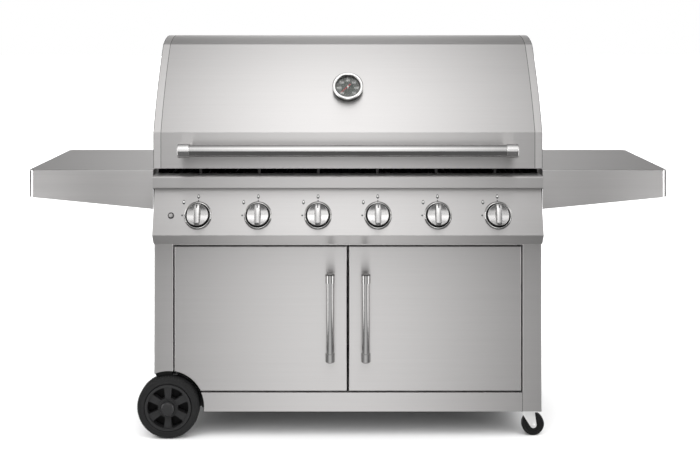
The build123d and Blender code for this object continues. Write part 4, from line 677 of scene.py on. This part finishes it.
class GRILL_OT_knobs(Operator):
    """Makes the six knobs with their grip bars, and the bezels round them"""

    bl_idname = "grill.knobs"
    bl_label = "Knobs and bezels"

    def execute(self, context):
        finishes()
        settings = context.scene.grill_controls
        for number, joint in enumerate(knob_joints, 1):
            body = f"knob_{number}"
            cap = self.set_on(joint, self.cap(settings), self.bar(settings))
            make_piece(f"{body}_cap", cap, "Turned knob", body, [f"burner_knob_{number}"])
            # Under each cap a black collar of painted shade.
            skirt = self.set_on(joint, self.skirt(settings))
            make_piece(f"{body}_skirt", skirt, "Painted shade black", body)
            mark = self.set_on(joint, self.line())
            make_piece(f"{body}_mark", mark, "Panel ink", body)
        rings = [self.set_on(joint, self.bezel(settings))[0] for joint in knob_joints]
        make_piece("bezel_rings", rings, "Polished ring", "cart", ["knob_bezels"])
        # Dark rings of painted shade in the bezels' recesses.
        well_shades = [self.set_on(joint, self.well(settings))[0] for joint in knob_joints]
        make_piece("bezel_well_shade", well_shades, "Painted shade black", "cart")
        return {"FINISHED"}

    def set_on(self, joint, *shells):
        """Local shells set on the panel at a knob's centre."""
        return carried(shells, joint["pos_m"], panel_ways)

    def cap(self, settings):
        """A turned side with a round rim; a 1.6 power of the distance up or down scoops rim and face."""
        radius = settings.knob_radius - 0.0015
        face = radius - 0.0022
        low, high = 0.0122, 0.0245
        side = rounded([(0, low), (radius, low), (radius - 0.0005, high), (face, high)], 0.0012)
        s = np.linspace(1, 0, 30)[1:, None]
        points, quads = turned(np.vstack([side, np.hstack([s * face, high + 0 * s])]), 96)
        scoop = 1 - np.abs(points[:, 1] / radius) ** 1.6
        points[:, 2] -= settings.knob_dish * scoop * np.clip((points[:, 2] - low) / (high - low), 0, 1)
        return points, quads

    def skirt(self, settings):
        """A turned collar under the cap, with eased edges, black as painted shade in the gap between knob and
        bezel.
        """
        radius, low, high = settings.knob_radius - 0.0003, 0.0066, 0.0123
        return turned(rounded([(0, low), (radius, low), (radius, high), (0, high)], 0.0006), 96)

    def crown(self, s):
        """Height of the grip's top along its length, from -1 to 1: a square law less a tenth power."""
        return 0.0352 - 0.0040 * s**2 - 0.0014 * np.abs(s) ** 10

    def bar(self, settings):
        """A section with sloping sides carried along the grip; a tenth power closes its width at the ends."""
        s = np.linspace(-1, 1, 64)[:, None]
        section = rounded([(-1, 0), (-0.82, 0.5), (-0.76, 1), (0.76, 1), (0.82, 0.5), (1, 0)], 0.06)
        low = 0.0130
        x = settings.bar_width / 2 * (1 - np.abs(s) ** 10) ** 0.1 * section[None, :, 0]
        z = low + (self.crown(s) - low) * section[None, :, 1]
        points = np.stack([x, grip_half * s + 0 * z, z], axis=-1).reshape(-1, 3)
        return points, grid_quads(len(s), len(section), False, True)

    def line(self):
        """A thin closed band on the crown of the grip near its upper end."""
        s = np.linspace(0.60, 0.95, 12)
        half, under, over = 0.0016, -0.0004, 0.0001
        return strip([
            np.stack([x + 0 * s, grip_half * s, self.crown(s) + lift], axis=-1)
            for x, lift in ((-half, under), (half, under), (half, over), (-half, over))
        ])

    def bezel(self, settings):
        """A closed turned section: an outer foot, a crowned rim and a recessed floor."""
        edge, bore, sill = settings.bezel_radius, 0.0080, 0.0012
        inner = edge - 0.0056
        profile = [
            (bore, 0), (edge, 0), (edge, 0.0036), (edge - 0.0028, 0.0061), (edge - 0.0050, 0.0066),
            (inner, 0.0058), (inner, sill), (bore, sill), (bore, 0),
        ]
        return turned(rounded(profile, 0.0005), 96)

    def well(self, settings):
        """A dark turned ring that lines the recess of a bezel, as painted shade where the knob shades the
        recess.
        """
        edge, bore, low, high = settings.bezel_radius - 0.0055, 0.0090, 0.0012, 0.0018
        return turned(
            [
                (bore, low), (edge, low), (edge, 0.0040), (edge - 0.0004, 0.0040),
                (edge - 0.0006, high), (bore, high), (bore, low),
            ],
            96,
        )


class GRILL_OT_marks(Operator):
    """Prints the small flame and dot marks beside each knob"""

    bl_idname = "grill.marks"
    bl_label = "Panel marks"
    ink = 0.00012

    def execute(self, context):
        finishes()
        stroke = context.scene.grill_controls.mark_stroke
        flame, flame_spots = 0.0066, ((0.0, 0.0540), (-0.0425, 0.0375))
        drawn = [self.drop(x, y, flame, stroke) for x, y in flame_spots]
        drawn += [self.dot(x, y - flame * 0.38, flame * 0.42) for x, y in flame_spots]
        drawn += [self.dot(-0.0460, 0.0005, 0.0026), self.dot(0.0, 0.0430, 0.0020)]
        pale = [self.dot(x, y, flame * 0.58) for x, y in flame_spots]
        lines, fills = [], []
        for joint in knob_joints:
            spot = np.array(joint["pos_m"])
            lines += carried(drawn, spot + self.ink / 2 * panel_normal, panel_ways)
            fills += carried(pale, spot, panel_ways)
        make_piece("panel_marks", lines, "Panel ink", "cart")
        make_piece("panel_mark_fills", fills, "Dial ink", "cart")
        return {"FINISHED"}

    def drop(self, x, y, size, stroke):
        """A flame outline as a flat band: a ring whose radius grows to a point on top by a cosine power."""
        angle = np.arange(40) / 40 * 2 * np.pi
        reach = size * (0.62 + 0.55 * np.maximum(np.cos(angle), 0) ** 6)
        rings = []
        for inset, height in ((0, 0.0), (0, self.ink), (stroke, self.ink), (stroke, 0.0)):
            right, up = (reach - inset) * np.sin(angle), (reach - inset) * np.cos(angle)
            rings.append(np.stack([x + right, y + up, height + 0 * angle], axis=-1))
        return np.vstack(rings), grid_quads(len(rings), len(angle), True, True)

    def dot(self, x, y, radius):
        """A flat disc, one step above the panel."""
        points, quads = turned([(0, self.ink), (radius, self.ink), (radius, 0.0), (0, 0.0)], 20)
        return points + (x, y, 0), quads


class GRILL_OT_gauge(Operator):
    """Makes the hood thermometer's ring, case, dial, scale, needle and glass"""

    bl_idname = "grill.gauge"
    bl_label = "Thermometer"

    def execute(self, context):
        finishes()
        settings = context.scene.grill_gauge
        dial = settings.dial_radius
        case = [turned(self.case(settings), 96), self.probe()]
        self.place("gauge_case", case, "Gauge case", "hood", ["thermometer_case"])
        self.place("gauge_ring", [turned(self.ring(settings), 128)], "Polished ring", "hood")
        middle, under = dial * 0.60, 0.00860
        face = [(0, 0.00900), (middle, 0.00900), (middle, under), (0, under)]
        self.place("gauge_dial", [turned(face, 96)], "Dial paint", "hood")
        inner, over = dial * 0.58, 0.00890
        band = [(inner, over), (dial, over), (dial, under), (inner, under), (inner, over)]
        self.place("gauge_band", [turned(band, 96)], "Dial band", "hood")
        self.place("gauge_scale", self.ticks(settings) + self.numerals(settings), "Dial ink", "hood")
        lens = [turned(self.lens(settings), 96)]
        self.place("gauge_lens", lens, "Gauge glass", "hood", ["thermometer_lens"], "gauge_glass")
        needle = [self.pointer()]
        self.place("gauge_needle", needle, "Needle paint", "needle", ["thermometer_needle"], "needle_red")
        self.place("gauge_hub", [turned(self.hub(), 32)], "Dial ink", "needle", slot="needle_red")
        return {"FINISHED"}

    def place(self, name, shells, finish, body, replaced=(), slot="bezel_chrome"):
        """Carries local shells on to the hood's slope as one piece."""
        make_piece(name, carried(shells, gauge_joint["pos_m"], gauge_ways), finish, body, replaced)

    def ring(self, settings):
        """Section of the polished ring: a flat foot, an upright rim and a bevel on each side of its top."""
        edge, inner = settings.ring_radius, settings.dial_radius + 0.0003
        foot, top = 0.0196, 0.0239
        return rounded(
            [
                (inner, foot), (edge, foot), (edge, 0.0222), (edge - 0.0016, top),
                (inner + 0.0015, top), (inner, 0.0226), (inner, foot),
            ],
            0.0011,
        )

    def case(self, settings):
        """Section of the dark case: a stepped wall with two grooves, and a well for the dial."""
        dial, lip = settings.dial_radius, settings.ring_radius - 0.0008
        wall, groove, neck, well = lip - 0.0028, lip - 0.0040, lip - 0.0036, dial - 0.0003
        return rounded(
            [
                (0, 0.0005), (wall, 0.0005), (wall, 0.0040), (groove, 0.0047), (groove, 0.0060),
                (wall, 0.0067), (wall, 0.0112), (neck, 0.0118), (neck, 0.0146), (lip, 0.0152), (lip, 0.0200),
                (dial + 0.0002, 0.0200), (dial, 0.0230), (well, 0.0225), (well, 0.0085), (0, 0.0085),
            ],
            0.0004,
        )

    def lens(self, settings):
        """Section of the glass: flat below and slightly domed above."""
        edge, low = settings.dial_radius + 0.0004, 0.0211
        return rounded([(0, 0.0223), (edge, 0.0217), (edge, low), (0, low)], 0.0003)

    def hub(self):
        """Section of the needle's hub: a round head on a thin spindle, just clear of the dial."""
        spindle, foot = 0.0018, 0.0092
        head = [(0, 0.0200), (0.0016, 0.0196), (0.0025, 0.0184)]
        return rounded(head + [(spindle, 0.0172), (spindle, foot), (0, foot)], 0.0004)

    def probe(self):
        """The stem inside the hood: a turned rod with a rounded tip."""
        return turned(rounded([(0, -0.0495), (0.003, -0.0495), (0.003, 0.001), (0, 0.001)], 0.002), 24)

    def angles(self, count):
        """Angles from the lower left, clockwise to the lower right."""
        return np.radians(225.0 - np.linspace(0, 270, count))

    def ticks(self, settings):
        """Thin tapered slabs that point at the centre, long at the numbered steps and short between them."""
        total = settings.divisions * settings.minor + 1
        angle = self.angles(total)
        numbered = np.arange(total) % settings.minor == 0
        outer = settings.dial_radius * 0.955
        inner = outer - np.where(numbered, 0.0058, 0.0030)
        half = np.where(numbered, 0.00095, 0.00040)
        out = np.stack([np.cos(angle), np.sin(angle)], axis=-1)
        side = half[:, None] * np.stack([-np.sin(angle), np.cos(angle)], axis=-1)
        near, far = inner[:, None] * out, outer * out
        flat = np.stack([near - 0.6 * side, far - side, far + side, near + 0.6 * side], axis=1)
        heights = np.broadcast_to(np.repeat([0.00880, 0.00900], 4)[None, :, None], (total, 8, 1))
        points = np.concatenate([np.concatenate([flat, flat], axis=1), heights], axis=2)
        box = np.array([[3, 2, 1, 0], [4, 5, 6, 7], [0, 1, 5, 4], [1, 2, 6, 5], [2, 3, 7, 6], [3, 0, 4, 7]])
        return [(points.reshape(-1, 3), (8 * np.arange(total)[:, None, None] + box).reshape(-1, 4))]

    def numerals(self, settings):
        """Plain figures in hundreds inside the long ticks, made from text outlines."""
        shells = []
        for step, angle in enumerate(self.angles(settings.divisions + 1)):
            words = bpy.data.curves.new("figure", "FONT")
            words.body = str(100 * (step + 1))
            words.size = 0.0080
            words.align_x = words.align_y = "CENTER"
            words.extrude = 0.00006
            holder = bpy.data.objects.new("figure", words)
            bpy.context.scene.collection.objects.link(holder)
            bpy.context.view_layer.update()
            outline = bpy.data.meshes.new_from_object(holder)
            points = np.zeros(len(outline.vertices) * 3)
            outline.vertices.foreach_get("co", points)
            outline.calc_loop_triangles()
            corners = np.zeros(len(outline.loop_triangles) * 3, int)
            outline.loop_triangles.foreach_get("vertices", corners)
            radius = settings.dial_radius * 0.69
            middle = np.array([radius * np.cos(angle), radius * np.sin(angle), 0.00906])
            shells.append((points.reshape(-1, 3) + middle, corners.reshape(-1, 3)))
            bpy.data.objects.remove(holder)
            bpy.data.curves.remove(words)
            bpy.data.meshes.remove(outline)
        return shells

    def pointer(self):
        """A flat bar along the rest angle, tapered from tail to tip, with a section of four corners."""
        way, tail, tip, low, high = np.radians(225.0), -0.0120, 0.0298, 0.0176, 0.0182
        s = np.linspace(tail, tip, 24)
        half = np.interp(s, (tail, -0.0100, 0.0, tip), (0.0010, 0.0012, 0.0011, 0.0004))
        along = s[:, None] * (np.cos(way), np.sin(way), 0)
        aside = half[:, None] * (-np.sin(way), np.cos(way), 0)
        corners = ((-1, low), (1, low), (1, high), (-1, high))
        return strip([along + side * aside + (0, 0, height) for side, height in corners])


class GRILL_OT_wheels(Operator):
    """Makes the treaded tyres and finishes the rims, caps and axle"""

    bl_idname = "grill.wheels"
    bl_label = "Wheels"

    def execute(self, context):
        finishes()
        settings = context.scene.grill_wheels
        dress("Wheel plastic", "front_wheel_rim", "rear_wheel_rim")
        dress("Cap plastic", "wheel_caps")
        dress("Zinc plate", "wheel_axle")
        for end, way in (("front", -1), ("rear", 1)):
            wheel, name = f"{end}_wheel", f"{end}_tyre"
            tyre = [self.tyre(name, settings)]
            make_piece(f"{name}_treaded", tyre, "Tyre rubber", wheel, [name], sharp=30.0)
            # A dark ring of painted shade behind the rim's spokes.
            floor = self.window_shade_ring(name, way)
            make_piece(f"{wheel}_window_shade", floor, "Painted shade black", wheel)
        return {"FINISHED"}

    def window_shade_ring(self, name, way):
        """A thin dark turned ring on the floors of the rim's openings, seen between the spokes: painted shade
        for the depth of the openings.
        """
        inner, outer, thick, depth = 0.027, 0.0595, 0.0012, 0.0248
        ring = [(inner, 0), (outer, 0), (outer, thick), (inner, thick), (inner, 0)]
        middle, _, half = disc(name)
        spot = middle + (0, way * (half - depth), 0)
        return carried([turned(ring, 96)], spot, ((1, 0, 0), (0, 0, 1), (0, way, 0)))

    def tyre(self, name, settings):
        """A rounded section turned about the axle, with square notches in its shoulders and two grooves."""
        middle, outer, half = disc(name)
        bead = 0.0681
        right = [
            (outer, half - 0.007), (outer - 0.006, half), (bead + 0.0105, half - 0.0010),
            (bead + 0.003, half), (bead, half - 0.004),
        ]
        left = [(radius, -along) for radius, along in right[::-1]]
        section = rounded(left + right, 0.0028, 5)
        crown = np.linspace(-half + 0.009, half - 0.009, 23)[:, None]
        split = int(np.argmax(section[:, 1] > 0))
        section = np.vstack([section[:split], np.hstack([outer + 0 * crown, crown]), section[split:]])
        turns = settings.tread_blocks * 8
        angle = np.arange(turns) / turns * 2 * np.pi
        radius, along = section[:, :1], section[:, 1:]
        on_shoulder = np.clip((np.abs(along) - half + 0.014) / 0.004, 0, 1) * (radius > outer - 0.0062)
        phase = (angle * settings.tread_blocks / (2 * np.pi) + np.sign(along) * 0.25) % 1.0
        notch = np.clip((0.16 - np.abs(phase - 0.5)) / 0.05, 0, 1)
        rings = np.clip(1 - np.abs(np.abs(along) - half * 0.36) / 0.0016, 0, 1) * (radius > outer - 0.001)
        sunk = radius - settings.tread_depth * np.maximum(on_shoulder * notch, rings)
        points = np.stack([sunk * np.sin(angle), along + 0 * angle, sunk * np.cos(angle)], axis=-1)
        return middle + points.reshape(-1, 3), grid_quads(len(section), turns, True, True)


class GRILL_OT_casters(Operator):
    """Makes the grooved caster wheels and finishes their forks and plates"""

    bl_idname = "grill.casters"
    bl_label = "Casters"

    def execute(self, context):
        finishes()
        dress("Zinc plate", "front_caster_fork", "rear_caster_fork", "caster_plates")
        for end in ("front", "rear"):
            name, body = f"{end}_caster_wheel", f"{end}_roller"
            wheel = [self.wheel(name)]
            make_piece(f"{end}_caster_tread", wheel, "Caster rubber", body, [name])
            x, _, z = disc(name)[0]
            bolts = []
            for side, way in zip(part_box(f"{end}_caster_fork"), (-1, 1)):
                bolts += carried([self.bolt()], (x, side.y, z), ((1, 0, 0), (0, 0, 1), (0, way, 0)))
            make_piece(f"{end}_caster_bolts", bolts, "Zinc plate", f"{end}_caster")
        return {"FINISHED"}

    def bolt(self):
        """A turned, flat-topped bolt head with eased edges."""
        radius, top, foot = 0.0052, 0.0026, -0.001
        head = rounded([(0, top), (0.0030, top), (radius, 0.0012), (radius, foot), (0, foot)], 0.0008)
        return turned(head, 24)

    def wheel(self, name):
        """A turned section with a crowned tread, two side grooves and a hub, closed along the axle's bore."""
        middle, outer, hub_half = disc(name)
        half, hub, bore = hub_half - 0.0017, 0.0095, 0.0042
        groove, web = half - 0.0012, half - 0.0015
        right = [
            (outer, half - 0.0035), (outer - 0.0015, half), (outer - 0.0080, half), (outer - 0.0088, groove),
            (outer - 0.0104, groove), (outer - 0.0112, half), (outer - 0.0160, half), (outer - 0.0170, web),
            (hub, web), (hub, hub_half), (bore, hub_half),
        ]
        left = [(radius, -along) for radius, along in right[::-1]]
        points, quads = turned(rounded(left + right + left[:1], 0.0012), 96)
        return points[:, [0, 2, 1]] + middle, quads


class GRILL_OT_fasteners(Operator):
    """Adds the domed screws of the back panel"""

    bl_idname = "grill.fasteners"
    bl_label = "Fasteners"

    def execute(self, context):
        finishes()
        low, high = (np.array(corner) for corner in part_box("back_panel"))
        columns = np.linspace(low[0] + 0.014, high[0] - 0.014, 6)
        radius = 0.0048
        dome = rounded([(0, 0.0026), (radius / 2, 0.0024), (radius, 0.0008), (radius, 0), (0, 0)], 0.001, 4)
        shells = []
        for spot in [(x, high[1], z) for x in columns for z in (low[2] + 0.012, high[2] - 0.012)]:
            shells += carried([turned(dome, 16)], spot, ((1, 0, 0), (0, 0, -1), (0, 1, 0)))
        make_piece("back_screws", shells, "Zinc plate", "cart")
        return {"FINISHED"}


class GRILL_OT_trim(Operator):
    """Adds bands of painted shade in the hood's seams, painted dark reflections on its end trims' edges, the
    seals beside the shelves, dark liners of painted shade in the wheel arches and a band of painted shade in
    the kick rail's seam
    """

    bl_idname = "grill.trim"
    bl_label = "Seams and seals"

    def execute(self, context):
        finishes()
        # Two ends each side: the skin's edge, where the band is painted shade in the seam, and the end trim's
        # outer edge, where it is a painted dark reflection.
        ends = (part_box("hood_skin")[1].x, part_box("hood_cheeks")[1].x - 0.0008)
        seams = [self.seam(side * end) for side in (-1, 1) for end in ends]
        make_piece("hood_painted_dark_bands", seams, "Seam shadow", "hood")
        front, rear, foot, top, thick = -0.2290, 0.2300, 0.6740, 0.7700, 0.0073
        seals = [eased_box((x, front, foot), (x + thick, rear, top), 0.001) for x in (-0.5738, 0.5665)]
        make_piece("shelf_seals", seals, "Caster rubber", "cart")
        # Dark arcs of painted shade in the gaps between tyres and arches.
        liners = [
            self.shade_liner("front", (0.0050, 0.0138), (-0.2138, -0.2060), (-6, 114)),
            self.shade_liner("front", (0.0020, 0.0130), (-0.2345, -0.2150), (84, 112)),
            self.shade_liner("rear", (0.0050, 0.0138), (0.2530, 0.2608), (20, 114)),
        ]
        make_piece("arch_shade_liners", liners, "Painted shade black", "cart")
        # A dark band of painted shade in the joint between the kick rail and the post.
        low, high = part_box("kick_rail")
        start = (high.x - 0.0006, low.y - 0.0002, low.z + 0.0005)
        end = (high.x + 0.0006, low.y + 0.0010, high.z - 0.0005)
        make_piece("kick_seam_shade", [eased_box(start, end, 0.0002)], "Seam shadow", "cart")
        return {"FINISHED"}

    def arc(self, start, end, steps):
        """Unit ways from one angle to another."""
        turn = np.linspace(start, end, steps)
        return np.stack([np.cos(turn), np.sin(turn)], axis=-1)

    def hood_side(self):
        """The hood from the side: skirt, bowed slope, crown, top and rear roll, as points and ways out."""
        low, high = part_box("hood_skin")
        skirt, run, rise, bulge, crown, rear = 0.106, 0.168, 0.2544, 0.0113, 0.2764, 0.180
        chord = np.hypot(run, rise)
        radius = (chord**2 / 4 + bulge**2) / (2 * bulge)
        half = np.arcsin(chord / 2 / radius)
        lean = np.arctan2(run, -rise)
        foot = np.array([low.y, low.z + skirt])
        centre = foot + np.array([run, rise]) / 2 - (radius - bulge) * np.array([np.cos(lean), np.sin(lean)])
        slope_way = self.arc(lean + half, lean - half, 48)
        slope = centre + radius * slope_way
        crown_way = self.arc(radians(115), radians(90), 16)
        crowned = slope[-1] + crown * (crown_way - crown_way[0])
        rear_way = self.arc(radians(90), 0, 32)
        rolled = np.array([high.y - rear, crowned[-1, 1] - rear]) + rear * rear_way
        upright = np.array([[low.y, low.z + 0.001], foot])
        ways = np.vstack([[[-1, 0], [-1, 0]], slope_way, crown_way, rear_way])
        return np.vstack([upright, slope, crowned, rolled]), ways

    def seam(self, x):
        """A thin dark band carried up and over the hood at one place across it: painted shade in the seam
        between skin and end trim, and a painted dark reflection on the end trim's rounded outer edge.
        """
        points, ways = self.hood_side()
        half, under, over = 0.0007, -0.0004, 0.00012
        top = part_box("hood_skin")[1].z - 0.00002
        rows = []
        for aside, lift in ((-half, under), (-half, over), (half, over), (half, under)):
            y, z = (points + lift * ways).T
            rows.append(np.stack([x + aside + 0 * y, y, np.minimum(z, top)], axis=-1))
        return strip(rows)

    def shade_liner(self, end, rims, depths, turns):
        """A dark arc of painted shade in the gap between a tyre and its arch: a small rectangle carried round
        the axle.
        """
        middle, reach, _ = disc(f"{end}_tyre")
        x, z = self.arc(*np.radians(turns), 40).T
        rows = []
        for rim, depth in ((0, 0), (1, 0), (1, 1), (0, 1)):
            radius, y = reach + rims[rim], depths[depth] + 0 * x
            rows.append(np.stack([middle[0] + radius * x, y, middle[2] + radius * z], axis=-1))
        return strip(rows)


class GRILL_PT_looks(Panel):
    """Lists the steps that finish the grill"""

    bl_idname = "GRILL_PT_looks"
    bl_label = "Gas grill looks"
    bl_space_type = "VIEW_3D"
    bl_region_type = "UI"
    bl_category = "Grill"

    def draw(self, context):
        for step in steps:
            self.layout.operator(step.bl_idname)
        for name in groups:
            settings = getattr(context.scene, name)
            box = self.layout.box()
            for key in settings.__annotations__:
                box.prop(settings, key)


groups = {
    "grill_finish": GrillFinish,
    "grill_controls": GrillControls,
    "grill_gauge": GrillGauge,
    "grill_wheels": GrillWheels,
    "grill_stage": GrillStage,
}
steps = (
    GRILL_OT_stage,
    GRILL_OT_sheets,
    GRILL_OT_cookbox,
    GRILL_OT_handles,
    GRILL_OT_knobs,
    GRILL_OT_marks,
    GRILL_OT_gauge,
    GRILL_OT_wheels,
    GRILL_OT_casters,
    GRILL_OT_fasteners,
    GRILL_OT_trim,
)


def register():
    for kind in (*groups.values(), *steps, GRILL_PT_looks):
        bpy.utils.register_class(kind)
    for name, kind in groups.items():
        setattr(bpy.types.Scene, name, PointerProperty(type=kind))


def unregister():
    for name in groups:
        delattr(bpy.types.Scene, name)
    for kind in reversed((*groups.values(), *steps, GRILL_PT_looks)):
        bpy.utils.unregister_class(kind)


def main():
    register()
    bpy.ops.grill.stage()
    bpy.ops.grill.sheets()
    bpy.ops.grill.cookbox()
    bpy.ops.grill.handles()
    bpy.ops.grill.knobs()
    bpy.ops.grill.marks()
    bpy.ops.grill.gauge()
    bpy.ops.grill.wheels()
    bpy.ops.grill.casters()
    bpy.ops.grill.fasteners()
    bpy.ops.grill.trim()


if __name__ == "__main__":
    main()
